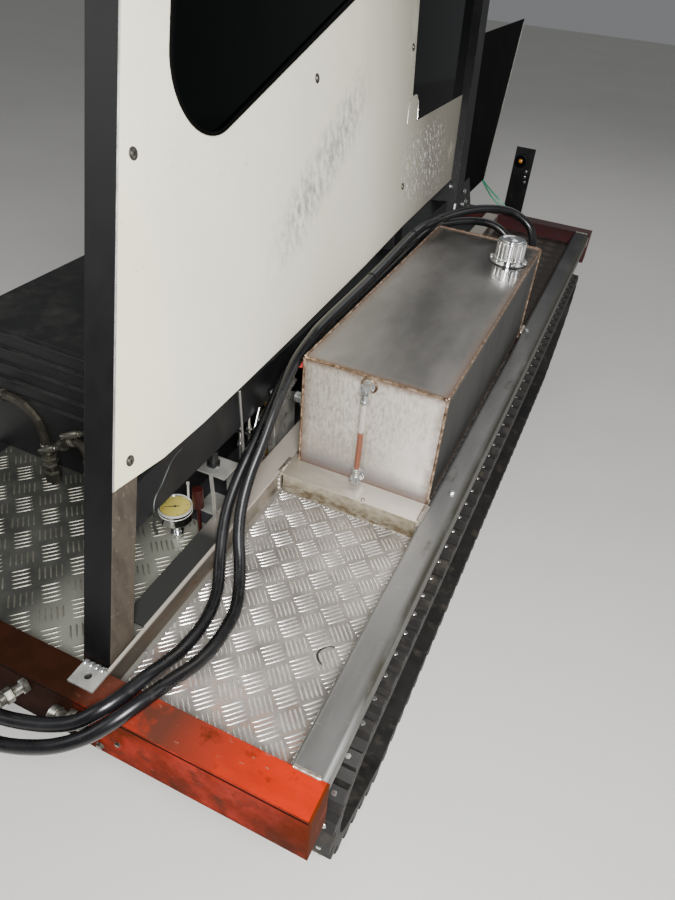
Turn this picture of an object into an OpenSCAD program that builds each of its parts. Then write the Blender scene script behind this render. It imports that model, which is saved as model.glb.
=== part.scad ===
// Right-hand half of a small tracked snow groomer's rear body: side deck with its
// hydraulic oil tank, the cab side above it and the rubber track unit below it.
// Millimetres. +X outboard, +Y forward, +Z up. The origin is on the ground under the
// middle of the track.

/* [Side frame] */
// Clear length between the two end beams
bay_l = 2510; // [2200:10:2800]
// Gap between the top of the track and the deck's bearers
track_gap = 25; // [15:1:60]
// Depth of an end beam along the machine
beam_w = 60; // [40:5:80]
// Height of an end beam
beam_h = 120; // [100:5:140]
// Wall of an end beam
beam_wall = 5; // [3:1:8]
// Thickness of the plate that closes the outer end of a beam
beam_end_t = 5; // [3:1:10]
// Height of the strip along the top of a beam
beam_cap_t = 6; // [4:1:10]
// Height of the dark groove under that strip
beam_groove = 3; // [2:1:5]
// Thickness of the bolted flange at a beam's inboard end
flange_plate_t = 10; // [6:1:16]
// Width of the flange's ears beside and below the beam
flange_ear = 32; // [28:1:40]
// Diameter of the flange's bolt holes
flange_hole = 13; // [11:1:17]
// Width of the outer rail tube
rail_w = 60; // [50:5:70]
// Height of the outer rail tube
rail_h = 60; // [54:2:66]
// Wall of the outer rail tube
rail_wall = 4; // [3:1:6]
// Corner radius of the outer rail tube
rail_r = 9; // [6:1:12]
// Height of the frame's top above the tread plate
deck_drop = 50; // [40:2:60]
// Thickness of the tread plate
plate_t = 4; // [3:0.5:6]
// Width of the inner rail's top flange
inner_w = 50; // [40:2:60]
// Thickness of the inner rail's steel
inner_t = 5; // [4:1:6]
// Length by which the inner rail's top flange is cut back at the rear post
inner_cut = 100; // [80:5:140]
// Distance from the track's middle to the outer face of the outer rail
rail_out = 187; // [180:1:195]
// Distance from the track's middle to the machine's middle line
half_in = 840; // [780:10:900]
// Width of the tube along the machine's middle line
sill_w = 40; // [30:5:60]
// Height of a cross bearer under the deck
bearer_h = 40; // [30:2:44]
// Wall of the bearers and of the middle tube
bearer_wall = 3; // [2:0.5:5]
// Length of tread plate behind the engine cover
floor_l = 396; // [300:4:500]
// Height of the engine cover above the floor
cover_h = 320; // [260:5:360]
// Length of the engine cover
cover_l = 1240; // [900:10:1300]
// Gap between the engine cover and the cab side
cover_gap = 150; // [140:5:200]
// Thickness of the engine cover's skin
cover_t = 3; // [2:0.5:5]
// Width and height of the zinc lug plate on the rear beam, along the beam
lug_w = 48; // [40:2:60]
// Length of the lug plate across the beam
lug_l = 39; // [30:1:50]
// Thickness of the lug plate
lug_t = 5; // [3:1:8]
// Diameter of the hole in the lug plate
lug_hole = 12; // [8:1:16]

/* [Oil tank] */
// Width of the tank
tank_w = 300; // [260:2:340]
// Length of the tank
tank_l = 870; // [700:10:1000]
// Height of the tank
tank_h = 265; // [220:5:300]
// Distance from the rear beam to the tank's near end
tank_gap = 623; // [500:1:700]
// Gap between the tank and the outer rail
tank_side_gap = 3; // [2:1:10]
// Gap between the tank and the inner rail
tank_in_gap = 19; // [14:1:30]
// Thickness of the tank's steel
tank_t = 4; // [3:0.5:6]
// Thickness of the weld bead along the tank's edges
weld_d = 7; // [4:1:10]
// Width of a cradle angle's top flange
cradle_w = 80; // [60:5:100]
// Thickness of a cradle angle
cradle_t = 5; // [4:1:8]
// Overlap of the tank's end on a cradle angle
cradle_lap = 20; // [10:2:40]
// Diameter of the filler flange
flange_d = 100; // [90:2:110]
// Thickness of the filler flange
flange_t = 5; // [4:1:8]
// Inner radius of the filler neck
neck_r = 22; // [18:1:26]
// Height of the filler neck above its flange
neck_h = 14; // [10:1:18]
// Diameter of the filler cap
cap_d = 76; // [70:1:84]
// Height of the filler cap
cap_h = 52; // [40:1:60]
// Number of flutes round the filler cap
flutes_n = 20; // [16:1:28]
// Distance of the filler from the tank's far end
filler_end = 140; // [100:5:200]
// Distance of the filler from the tank's outboard side
filler_side = 61; // [56:1:80]
// Lift of the filler cap off its neck
cap_lift = 90; // [60:5:120]
// Outer diameter of the sight tube
sight_d = 12; // [10:1:16]
// Distance of the sight tube from the tank's outboard side
sight_side = 158; // [100:2:200]
// Share of the sight tube that is filled with oil
oil_level = 0.5; // [0.1:0.05:0.9]

/* [Cab side] */
// Forward lean of the posts in degrees
lean_fwd = 21; // [16:0.2:24]
// Forward lean of the tall part's front edge and of the post behind it, in degrees
mid_lean = 12.4; // [10:0.2:22]
// Inboard lean of the whole side in degrees
lean_in = 8; // [4:0.5:10]
// Height of the cab side above the floor, along the side
side_h = 1485; // [1300:5:1600]
// Length of the cab side from its rear edge to the far post
side_l = 1688; // [1500:1:1800]
// Length of the tall rear part of the white sheet, at the floor
sheet_l = 1298; // [1200:1:1360]
// Width of a post along the machine
post_w = 60; // [40:2:70]
// Depth of a post across the machine
post_d = 56; // [40:2:60]
// Wall of a post
post_wall = 3; // [2:0.5:5]
// Width of the far post along the machine
far_post_w = 80; // [60:5:100]
// Depth by which the far post stands proud of the sheet
far_proud = 25; // [10:1:30]
// Height of the far post's foot
foot_h = 230; // [180:5:280]
// Thickness of the white side sheet
sheet_t = 3; // [2:0.5:5]
// Lowest height of the white sheet above the floor
sheet_low = 295; // [280:5:330]
// Height of the sill beam
sill_h = 75; // [60:5:90]
// Height of the sill beam's top above the floor
sill_up = 292; // [270:2:320]
// Height of the sheet's step above the floor
step_up = 590; // [540:5:640]
// Height of the tab at the step
tab_h = 65; // [50:5:80]
// Width of the tab at the step
tab_w = 47; // [36:1:60]
// Height of the roof rail
roof_h = 50; // [40:5:60]
// Distance from the sheet's rear edge to the window
win_margin = 109; // [90:1:140]
// Distance from the window to the front edge of the tall part
win_pillar = 149; // [130:1:200]
// Height of the window's lowest corner above the floor
win_low = 690; // [650:2:730]
// Rise of the window's lower edge from rear to front
win_rise = 279; // [240:1:300]
// Distance from the window to the roof rail
win_head = 95; // [80:5:120]
// Radius of the window's corners
win_r = 90; // [40:5:100]
// Thickness of the window glass
glass_t = 5; // [4:1:8]
// Width of the rubber around a window
seal_w = 8; // [6:1:20]
// Length of the nose panel at its foot
nose_foot_l = 399; // [300:1:450]
// Length of the nose panel at its top
nose_top_l = 703; // [650:1:800]
// Height of the nose panel's foot above the floor
nose_foot = 250; // [220:5:280]
// Height of the nose panel's top above the floor
nose_top = 740; // [680:5:800]

/* [Track unit] */
// Width of the rubber track
track_w = 400; // [380:5:400]
// Pitch of the track's bars
track_pitch = 52.5; // [50:0.5:55]
// Thickness of the rubber belt
belt_t = 25; // [20:1:30]
// Height of a track bar
bar_h = 20; // [15:1:25]
// Height of the track's top above the ground
track_top = 411; // [400:1:450]
// Length of the track over its bars
track_l = 2464; // [2300:2:2480]
// Radius of the track round the sprocket and round the idler, over its bars
end_r = 150; // [130:2:160]
// Distance from the track's end to the first road wheel's axle
wheel_in = 311; // [290:1:330]
// Number of road wheels
wheels_n = 6; // [5:1:7]
// Radius of a road wheel
wheel_r = 65; // [55:1:70]
// Width of one tyre of a road wheel pair
roller_w = 45; // [35:1:55]
// Gap between the two tyres of a pair
roller_gap = 50; // [40:1:60]
// Diameter of a road wheel's axle
axle_d = 30; // [24:1:36]
// Thickness of the side plates that hold the axles
arm_t = 12; // [8:1:16]
// Width of the track frame's beam
tframe_w = 120; // [80:5:140]
// Diameter of a tie tube to the chassis rail
tie_d = 70; // [50:1:80]
// Number of teeth of the drive sprocket
teeth_n = 13; // [11:1:15]
// Thickness of the drive sprocket
sprocket_t = 36; // [20:1:44]
// Diameter of the drive motor
motor_d = 130; // [110:5:150]
// Depth of the chassis rail across the machine
chassis_w = 80; // [60:5:100]
// Height of the chassis rail
chassis_h = 200; // [150:5:220]
// Wall of the chassis rail
chassis_wall = 6; // [4:1:8]
// Gap between the track and the chassis rail
chassis_gap = 50; // [40:5:60]
// Distance from an end beam to the end of the chassis rail
chassis_in = 60; // [20:5:120]

/* [Hydraulics] */
// Outer diameter of a hydraulic hose
hose_d = 23; // [19:1:26]
// Distance from the rear beam to the pressure gauge
gauge_back = 341; // [300:1:360]
// Diameter of the pressure gauge
gauge_d = 66; // [50:1:80]
// Height of the pressure gauge
gauge_h = 30; // [24:1:36]
// Outer diameter of the bent steel tubes
pipe_d = 20; // [15:1:25]
// Distance of the bent tubes from the engine cover
pipe_gap = 41; // [30:1:60]
// Diameter of a quick coupler
coupler_d = 38; // [30:1:44]
// Diameter of the lever rods
rod_d = 8; // [6:1:12]
// Distance from the rear beam to the switch bracket
switch_back = 452; // [430:1:480]
// Height of the switch bracket above the floor
switch_up = 105; // [80:5:130]
// Height of the work lamp above the frame
lamp_up = 225; // [150:5:260]

/* [Hidden] */
fine = 64;
round_fn = 32;
run = 0.3;
end_inner = bay_l / 2;
end_outer = end_inner + beam_w;
frame_top = track_top + track_gap + bearer_h + plate_t + deck_drop;
deck_z = frame_top - deck_drop;
rail_in = rail_out - rail_w;
beam_z = frame_top - beam_h;
tank_x1 = rail_in - tank_side_gap;
tank_x0 = tank_x1 - tank_w;
inner_x = tank_x0 - tank_in_gap;
tank_y0 = -end_inner + tank_gap;
tank_y1 = tank_y0 + tank_l;
tank_top = frame_top + tank_h;
filler_x = tank_x1 - filler_side;
filler_y = tank_y1 - filler_end;
sight_x = tank_x1 - sight_side;
wall_x = inner_x - inner_t - 1;
chassis_x1 = -track_w / 2 - chassis_gap;
chassis_x0 = chassis_x1 - chassis_w;

// A box from one corner to the other.
module span(a, b) {
    translate(a) cube(b - a);
}

// The same box as a closed hollow section with walls of thickness t.
module hollow(a, b, t) {
    difference() {
        span(a, b);
        span(a + [t, t, t], b - [t, t, t]);
    }
}

// A rectangle with round corners, its corner at the origin.
module round_rect(w, h, r) {
    union() {
        translate([r, 0]) square([w - 2 * r, h]);
        translate([0, r]) square([w, h - 2 * r]);
        for (x = [r, w - r], y = [r, h - r]) translate([x, y]) circle(r = r, $fn = round_fn);
    }
}

// Extrudes a drawing of Y and Z along X, from x0 to x1.
module along_x(x0, x1) {
    translate([x0, 0, 0]) rotate([90, 0, 90]) linear_extrude(x1 - x0) children();
}

// A cylinder along X, along Y or along Z, from one end to the other.
module rod_x(x0, x1, y, z, d) {
    translate([x0, y, z]) rotate([0, 90, 0]) cylinder(h = x1 - x0, d = d, $fn = fine);
}

module rod_y(x, y0, y1, z, d, sides = 32) {
    translate([x, y0, z]) rotate([-90, 0, 0]) cylinder(h = y1 - y0, d = d, $fn = sides);
}

module rod_z(x, y, z0, z1, d, sides = 32) {
    translate([x, y, z0]) cylinder(h = z1 - z0, d = d, $fn = sides);
}

// The leaning plane of the cab side: local X is outboard, local Z runs up the side.
module on_side() {
    translate([wall_x, 0, deck_z]) rotate([0, -lean_in, 0]) children();
}

// A point of the cab side: y at the floor and height up the side, with the forward lean.
function side_pt(y, h, lean = lean_fwd) = [y + h * tan(lean), h];
// The same with the lean of the tall part's front edge.
function mid_pt(y, h) = side_pt(y, h, mid_lean);

// FRAME

// An end beam is a box section with a strip on top, a groove below the strip, a plate on
// its outer end and a bolted flange on its inboard end. s is the side its groove faces.
module end_beam(y0, s) {
    strip_z = frame_top - beam_cap_t;
    g0 = s < 0 ? beam_groove : 0;
    g1 = s > 0 ? beam_groove : 0;
    hollow([-half_in, y0, beam_z], [rail_out, y0 + beam_w, strip_z - beam_groove], beam_wall);
    span([-half_in, y0 + g0, strip_z - beam_groove], [rail_out, y0 + beam_w - g1, strip_z]);
    span([-half_in, y0, strip_z], [rail_out, y0 + beam_w, frame_top]);
    span([rail_out, y0, beam_z], [rail_out + beam_end_t, y0 + beam_w, frame_top]);
    difference() {
        span([-half_in - flange_plate_t, y0 - flange_ear, beam_z - flange_ear],
            [-half_in, y0 + beam_w + flange_ear, frame_top]);
        for (y = [y0 - flange_ear / 2, y0 + beam_w + flange_ear / 2],
            z = [beam_z - flange_ear / 2, frame_top - 3 * flange_ear / 4])
            rod_x(-half_in - flange_plate_t - 1, -half_in + 1, y, z, flange_hole);
    }
}

module rear_beam() {
    color("orangered") end_beam(-end_outer, -1);
}

module front_beam() {
    color("darkred") end_beam(end_inner, 1);
}

module outer_rail() {
    color("dimgray") translate([rail_in, end_inner, frame_top - rail_h]) rotate([90, 0, 0])
        linear_extrude(bay_l) difference() {
            round_rect(rail_w, rail_h, rail_r);
            translate([rail_wall, rail_wall])
                round_rect(rail_w - 2 * rail_wall, rail_h - 2 * rail_wall, rail_r - rail_wall);
        }
}

// Angle steel along the deck bay, with a narrow ledge that clamps the tread plate.
module inner_rail() {
    color("rosybrown") {
        span([inner_x - inner_t, -end_inner, deck_z - plate_t], [inner_x, end_inner, frame_top]);
        span([inner_x - inner_w, -end_inner + inner_cut, frame_top - inner_t],
            [inner_x - inner_t, end_inner, frame_top]);
        span([inner_x, -end_inner, deck_z], [inner_x + 2 * inner_t, end_inner, deck_z + inner_t]);
    }
}

module middle_tube() {
    color("black") hollow([-half_in, -end_inner, deck_z - plate_t - bearer_h],
        [-half_in + sill_w, end_inner, deck_z], bearer_wall);
}

module deck_plate() {
    color("silver") span([inner_x, -end_inner, deck_z - plate_t], [rail_in, end_inner, deck_z]);
}

module floor_plate() {
    color("silver") span([-half_in + sill_w, -end_inner, deck_z - plate_t],
        [inner_x - inner_t, -end_inner + floor_l, deck_z]);
}

module under_pan() {
    color("black") span([-half_in + sill_w, -end_inner + floor_l, deck_z - plate_t],
        [inner_x - inner_t, end_inner, deck_z]);
}

bearer_y = [for (k = [-2:2]) k * bay_l / 5];

// Tubes under the deck, with pads that stand on the chassis rail.
module cross_bearers() {
    bearer_z = deck_z - plate_t - bearer_h;
    color("black") for (y = bearer_y) {
        hollow([-half_in + sill_w, y - bearer_h / 2, bearer_z],
            [rail_in, y + bearer_h / 2, deck_z - plate_t], bearer_wall);
        span([chassis_x0, y - bearer_h / 2, beam_z], [chassis_x1, y + bearer_h / 2, bearer_z]);
    }
}

module chassis_rail() {
    color("black") hollow([chassis_x0, -end_inner + chassis_in, beam_z - chassis_h],
        [chassis_x1, end_inner - chassis_in, beam_z], chassis_wall);
}

// RUBBER TRACK

end_z = track_top - end_r;
end_y = track_l / 2 - end_r;
wheel_y = track_l / 2 - wheel_in;
wheel_z = bar_h + belt_t + wheel_r;
// Circles that the belt's outer face runs round, as [y, z, radius], in running order.
loop = [[-wheel_y, wheel_z, wheel_r + belt_t], [wheel_y, wheel_z, wheel_r + belt_t],
    [end_y, end_z, end_r - bar_h], [-end_y, end_z, end_r - bar_h]];
function normal_angle(a, b) = let(d = [b[0] - a[0], b[1] - a[1]])
    atan2(d[1], d[0]) - acos((a[2] - b[2]) / norm(d));
function turn(a, b) = b - a - 360 * floor((b - a) / 360);
function on_circle(c, a, r) = [c[0] + r * cos(a), c[1] + r * sin(a)];
loop_n = [for (i = [0:3]) normal_angle(loop[i], loop[(i + 1) % 4])];
// Lengths of the straight runs and of the arcs that follow them.
straight_l = [for (i = [0:3]) let(b = loop[(i + 1) % 4])
    norm(on_circle(b, loop_n[i], b[2]) - on_circle(loop[i], loop_n[i], loop[i][2]))];
arc_l = [for (i = [0:3]) loop[(i + 1) % 4][2] * turn(loop_n[i], loop_n[(i + 1) % 4]) * PI / 180];
loop_l = straight_l * [1, 1, 1, 1] + arc_l * [1, 1, 1, 1];
bars_n = round(loop_l / track_pitch);
bar_step = loop_l / bars_n;
function wrap(s) = s - loop_l * floor(s / loop_l);
// The point at length s along the belt's outer face, moved out by e.
function belt_pt(s, e, i = 0) =
    let(b = loop[(i + 1) % 4], p = on_circle(loop[i], loop_n[i], loop[i][2] + e),
        q = on_circle(b, loop_n[i], b[2] + e))
    s <= straight_l[i] ? p + (q - p) * s / straight_l[i]
    : s - straight_l[i] <= arc_l[i] || i == 3
        ? on_circle(b, loop_n[i] + (s - straight_l[i]) / b[2] * 180 / PI, b[2] + e)
        : belt_pt(s - straight_l[i] - arc_l[i], e, i + 1);
// One bar, as [share of the pitch from the crown's middle, height]. A crown stands over
// the origin.
bar_form = [[-0.31, 0], [-0.2, bar_h], [0.2, bar_h], [0.31, 0]];
outer_line = [for (k = [0:bars_n - 1], f = bar_form)
    belt_pt(wrap(wheel_y + (k + f[0]) * bar_step), f[1])];
inner_line = [for (k = [0:4 * bars_n - 1]) belt_pt(wrap(wheel_y + k * bar_step / 4), -belt_t)];

module track() {
    color("#1c1c1c") along_x(-track_w / 2, track_w / 2) difference() {
        polygon(outer_line);
        polygon(inner_line);
    }
}

// TRACK FRAME AND WHEELS

wheel_step = 2 * wheel_y / (wheels_n - 1);
wheel_ys = [for (k = [0:wheels_n - 1]) -wheel_y + k * wheel_step];
arm_x = roller_gap / 2 + roller_w + 6;
tframe_z = wheel_z + wheel_r + 12;
inside_h = track_top - bar_h - belt_t - tframe_z;
tframe_h = inside_h / 2;
tie_y = 0.46 * wheel_y;
carrier_r = 0.18 * inside_h;
carrier_y = 0.45 * wheel_y;
carrier_z = track_top - bar_h - belt_t - carrier_r - run;
carrier_axle = 20;
yoke_l = 60;

// A plate beside the beam, on side s, from y0 to y1 and from z0 to z1.
module side_plate(s, y0, y1, z0, z1) {
    x = s > 0 ? arm_x : -arm_x - arm_t;
    span([x, y0, z0], [x + arm_t, y1, z1]);
}

module track_frame() {
    color("dimgray") difference() {
        union() {
            hollow([-arm_x, -end_y + end_r, tframe_z], [arm_x, end_y - end_r, tframe_z + tframe_h],
                arm_t);
            for (s = [-1, 1], y = wheel_ys)
                side_plate(s, y - 1.3 * axle_d, y + 1.3 * axle_d, wheel_z - axle_d, tframe_z + 20);
            for (s = [-1, 1])
                side_plate(s, end_y - end_r - yoke_l, end_y + 1.1 * axle_d, tframe_z,
                    tframe_z + tframe_h);
            for (y = [-tie_y, tie_y])
                rod_x(chassis_x1, -arm_x, y, tframe_z + tframe_h / 2, tie_d);
            for (y = [-carrier_y, carrier_y])
                span([-carrier_axle, y - 25, tframe_z + tframe_h],
                    [carrier_axle, y + 25, carrier_z + carrier_axle]);
        }
        for (y = wheel_ys)
            rod_x(-arm_x - 2 * arm_t, arm_x + 2 * arm_t, y, wheel_z, axle_d + 2 * run);
        rod_x(-arm_x - 2 * arm_t, arm_x + 2 * arm_t, end_y, end_z, axle_d + 2 * run);
        for (y = [-carrier_y, carrier_y])
            rod_x(-2 * carrier_axle, 2 * carrier_axle, y, carrier_z, carrier_axle + 2 * run);
    }
}

// An axle with a pair of wheels of radius r and a hub between them.
module wheel_pair(y, z, r) {
    rod_x(-arm_x - arm_t - 8, arm_x + arm_t + 8, y, z, axle_d);
    for (s = [-1, 1]) {
        x = s * (roller_gap + roller_w) / 2;
        rod_x(x - roller_w / 2, x + roller_w / 2, y, z, 2 * r);
    }
    rod_x(-roller_gap / 2 - 1, roller_gap / 2 + 1, y, z, 1.2 * r);
}

module road_wheels() {
    color("gray") for (y = wheel_ys) wheel_pair(y, wheel_z, wheel_r - run);
}

belt_in = end_r - bar_h - belt_t - run;

module idler_wheel() {
    color("gray") wheel_pair(end_y, end_z, belt_in);
}

// One tooth, as [share of a tooth's angle, share of the radius].
tooth = [[-0.34, 0.86], [-0.16, 1], [0.16, 1], [0.34, 0.86]];

module drive_sprocket() {
    color("gray") translate([0, -end_y, end_z]) rotate([90, 0, 90]) {
        translate([0, 0, -sprocket_t / 2]) linear_extrude(sprocket_t)
            polygon([for (k = [0:teeth_n - 1], f = tooth) let(a = (k + f[0]) * 360 / teeth_n)
                belt_in * f[1] * [cos(a), sin(a)]]);
        translate([0, 0, sprocket_t / 2]) cylinder(h = sprocket_t, r = 0.52 * belt_in, $fn = fine);
        for (k = [0:5]) rotate([0, 0, 60 * k]) translate([0.38 * belt_in, 0, 1.5 * sprocket_t])
            cylinder(h = 0.2 * sprocket_t, d = 0.16 * belt_in, $fn = 6);
    }
}

module drive_motor() {
    color("#202020") {
        rod_x(chassis_x1, -sprocket_t / 2, -end_y, end_z, motor_d);
        rod_x(-sprocket_t - motor_d / 3, -sprocket_t - motor_d / 5, -end_y, end_z, 1.2 * motor_d);
        rod_x(chassis_x1, chassis_x1 + motor_d / 10, -end_y, end_z, 1.3 * motor_d);
    }
}

module carrier_rollers() {
    rib = 48;
    color("gray") for (y = [-carrier_y, carrier_y]) {
        rod_x(-rib - 25, rib + 25, y, carrier_z, carrier_axle);
        for (s = [-1, 1]) rod_x(s * rib - 22, s * rib + 22, y, carrier_z, 2 * carrier_r);
    }
}

// OIL TANK

// A welded box, closed but for the hole under its filler, with beads along its end edges.
module oil_tank() {
    color("#8c857c") difference() {
        union() {
            span([tank_x0, tank_y0, frame_top], [tank_x1, tank_y1, tank_top]);
            for (y = [tank_y0 + 1, tank_y1 - 1]) translate([tank_x0 + 2, y, tank_top - 1])
                rotate([0, 90, 0]) cylinder(h = tank_w - 4, d = weld_d, $fn = 16);
        }
        span([tank_x0 + tank_t, tank_y0 + tank_t, frame_top + tank_t],
            [tank_x1 - tank_t, tank_y1 - tank_t, tank_top - tank_t]);
        rod_z(filler_x, filler_y, tank_top - tank_t - 2, tank_top + 10, 2 * neck_r, fine);
    }
}

// An angle across the bay: y_toe is its outer face and s points to the tank.
module cradle_angle(y_toe, s) {
    y_in = y_toe + s * cradle_w;
    y_web = y_toe + s * cradle_t;
    span([inner_x, min(y_toe, y_in), frame_top - cradle_t], [rail_in, max(y_toe, y_in), frame_top]);
    span([inner_x + 2 * inner_t, min(y_toe, y_web), deck_z],
        [rail_in, max(y_toe, y_web), frame_top - cradle_t]);
}

module tank_cradle() {
    color("#7d7a63") {
        cradle_angle(tank_y0 + cradle_lap - cradle_w, 1);
        cradle_angle(tank_y1 - cradle_lap + cradle_w, -1);
        // Bracket between the rail and the tank's far end.
        span([tank_x1 - 40, tank_y1, frame_top], [tank_x1, tank_y1 + 6, frame_top + 0.5 * tank_h]);
    }
}

flange_z = tank_top + flange_t;

module filler_flange() {
    color("silver") difference() {
        union() {
            rod_z(filler_x, filler_y, tank_top, flange_z, flange_d, fine);
            rod_z(filler_x, filler_y, tank_top, flange_z + 2, 0.86 * flange_d, fine);
            rod_z(filler_x, filler_y, tank_top, flange_z + neck_h, 2 * neck_r + 8, fine);
            for (k = [0:5]) translate([filler_x, filler_y, flange_z]) rotate([0, 0, 60 * k])
                translate([0.46 * flange_d, 0, -1]) cylinder(h = 5, d = 7, $fn = 24);
        }
        rod_z(filler_x, filler_y, tank_top - 1, flange_z + neck_h + 1, 2 * neck_r, fine);
    }
}

cap_z = flange_z + 2 + run;

module filler_cap() {
    color("gainsboro") translate([filler_x, filler_y, cap_z]) difference() {
        union() {
            cylinder(h = 5, d = cap_d + 3, $fn = 96);
            translate([0, 0, 4]) linear_extrude(cap_h - 8) difference() {
                circle(d = cap_d, $fn = 96);
                for (k = [0:flutes_n - 1]) rotate([0, 0, 360 / flutes_n * k])
                    translate([cap_d / 2 + 2, 0]) circle(r = 4.6, $fn = 16);
            }
            cylinder(h = cap_h, d = cap_d - 8, $fn = 96);
        }
        translate([0, 0, -1]) cylinder(h = cap_h - 11, r = neck_r + 8, $fn = fine);
    }
}

// SIGHT GLASS

sight_top = tank_top - 20;
sight_low = frame_top + 18;
sight_y = tank_y0 - sight_d - 4;
sight_z0 = sight_low + 20;
sight_z1 = sight_top - 34;

module sight_fittings() {
    block = sight_d / 2 + 3;
    color("silver") {
        for (z = [sight_top, sight_low]) {
            rod_y(sight_x, sight_y + block - 1, tank_y0, z, 26, 6);
            span([sight_x - block, sight_y - block, z - 10], [sight_x + block, sight_y + block, z + 10]);
        }
        rod_z(sight_x, sight_y, sight_z1, sight_top - 10, sight_d + 4);
        rod_z(sight_x, sight_y, sight_low + 10, sight_z0, sight_d + 4);
    }
}

module sight_tube() {
    color("white") difference() {
        rod_z(sight_x, sight_y, sight_z0, sight_z1, sight_d);
        rod_z(sight_x, sight_y, sight_z0 - 1, sight_z1 + 1, sight_d - 4);
    }
}

module sight_oil() {
    color("darkred") rod_z(sight_x, sight_y, sight_z0,
        sight_z0 + oil_level * (sight_z1 - sight_z0), sight_d - 4.4);
}

// CAB SIDE

rear_y = -end_inner + 7;
far_y = rear_y + side_l;
sheet_y = rear_y + sheet_l;
mid_y = sheet_y - post_w;
rail_h0 = side_h - roof_h;
back_x = -post_d - sheet_t;

// The four corners of a leaning strip of the side, from y0 to y1 and from h0 to h1. Its
// rear edge leans by rear.
function strip(y0, y1, h0, h1, rear = lean_fwd, front = lean_fwd) = [side_pt(y0, h0, rear),
    side_pt(y1, h0, front), side_pt(y1, h1, front), side_pt(y0, h1, rear)];

// A leaning square tube that starts at y, is cut off level at height z and reaches up
// into the roof rail by the depth up.
module side_post(y, w, z, up = 0, lean = lean_fwd) {
    difference() {
        on_side() difference() {
            along_x(back_x, -sheet_t) polygon(strip(y, y + w, -30, rail_h0 + up, lean, lean));
            along_x(back_x + post_wall, -sheet_t - post_wall) polygon(strip(y + post_wall,
                y + w - post_wall, -40, rail_h0 - post_wall, lean, lean));
        }
        span([-half_in, -2 * end_outer, z - 100], [0, 2 * end_outer, z]);
    }
}

module rear_post() {
    color("#181818") side_post(rear_y, post_w, deck_z);
}

module front_post() {
    color("#181818") {
        side_post(far_y, far_post_w, frame_top);
        on_side() along_x(-sheet_t, far_proud)
            polygon(strip(far_y, far_y + far_post_w, foot_h, rail_h0));
    }
}

// The sill beam, the post behind the sheet and the roof rail.
module side_frame() {
    color("#181818") {
        side_post(mid_y, post_w, frame_top, 1, mid_lean);
        on_side() {
            along_x(back_x + 1, -sheet_t) polygon(strip(rear_y + post_w + run, far_y - run,
                sill_up - sill_h, sill_up));
            difference() {
                along_x(back_x, 0) polygon(strip(rear_y, far_y + far_post_w, rail_h0, side_h));
                along_x(back_x + post_wall, -post_wall) polygon(strip(rear_y + post_wall,
                    far_y + far_post_w - post_wall, rail_h0 + post_wall, side_h - post_wall));
            }
        }
    }
}

win_y0 = rear_y + win_margin;
win_y1 = sheet_y - win_pillar;
win_top = rail_h0 - win_head;

// The window's outline, grown by g.
function win_corners(g) = [side_pt(win_y0 - g, win_low - g),
    mid_pt(win_y1 + g, win_low + win_rise - g), mid_pt(win_y1 + g, win_top + g),
    side_pt(win_y0 - g, win_top + g)];

// Rounds every corner of an outline that runs anticlockwise with arcs of n steps.
function rounded(p, r, n = 6) = [for (i = [0:len(p) - 1])
    let(m = len(p), a = p[(i + m - 1) % m], b = p[i], c = p[(i + 1) % m],
        u = (a - b) / norm(a - b), v = (c - b) / norm(c - b), half = acos(u * v) / 2,
        o = b + (u + v) / norm(u + v) * r / sin(half), a0 = atan2(-u[0], u[1]) + 180)
    each [for (k = [0:n]) on_circle(o, a0 + (180 - 2 * half) * k / n, r)]];

// The sheet's wavy lower edge: distance from its rear edge, height over its lowest point.
low_edge = [[128, 18], [239, 2], [356, 0], [494, 3], [656, 8], [851, 16], [1088, 26],
    [1370, 44]];
low_end = 59;

// A tab with a round top reaches up from the step in front of the tall part. Its outline,
// as [distance from the tab's front edge, distance from its top].
tab_line = [[0, -14], [8, -3], [20, 0]];

module side_panel() {
    tab_y = sheet_y + tab_w;
    tab_top = step_up + tab_h;
    color("whitesmoke") on_side() along_x(-sheet_t, 0) difference() {
        polygon(concat([for (p = low_edge) [rear_y + p[0] * side_l / 1688, sheet_low + p[1]]],
            [side_pt(far_y, sheet_low + low_end), side_pt(far_y, step_up), mid_pt(tab_y, step_up)],
            [for (p = tab_line) mid_pt(tab_y - p[0], tab_top + p[1])],
            [mid_pt(sheet_y, tab_top), mid_pt(sheet_y, rail_h0), side_pt(rear_y, rail_h0),
                side_pt(rear_y, sheet_low + low_edge[0][1])]));
        polygon(rounded(win_corners(0), win_r));
    }
}

module window_seals() {
    color("#101010") on_side() along_x(0, 4) difference() {
        polygon(rounded(win_corners(seal_w / 2), win_r + seal_w / 2));
        polygon(rounded(win_corners(-seal_w / 2), win_r - seal_w / 2));
    }
}

module window_glass() {
    color("#22282a") on_side() {
        along_x(-sheet_t - glass_t, -sheet_t) polygon(rounded(win_corners(18), win_r + 18));
        along_x(-sheet_t - glass_t, -sheet_t)
            polygon(strip(sheet_y + run, far_y - run, step_up - 20, rail_h0 - run, mid_lean));
    }
}

nose_y = far_y + far_post_w;

module nose_panel() {
    foot = side_pt(nose_y, nose_foot);
    high = side_pt(nose_y, nose_top);
    color("#141414") on_side() along_x(-sheet_t, 0)
        polygon([foot, foot + [nose_foot_l, 0], high + [nose_top_l, 0], high]);
}

lamp_x = inner_x + 41;
lamp_y = end_inner + beam_w / 2;
lamp_d = 46;

// A flat bar that stands on the front beam and carries the lamp.
module lamp_bracket() {
    color("black") span([lamp_x - lamp_d / 2 - 8, lamp_y, frame_top],
        [lamp_x + lamp_d, lamp_y + 6, frame_top + lamp_up + lamp_d]);
}

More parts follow.
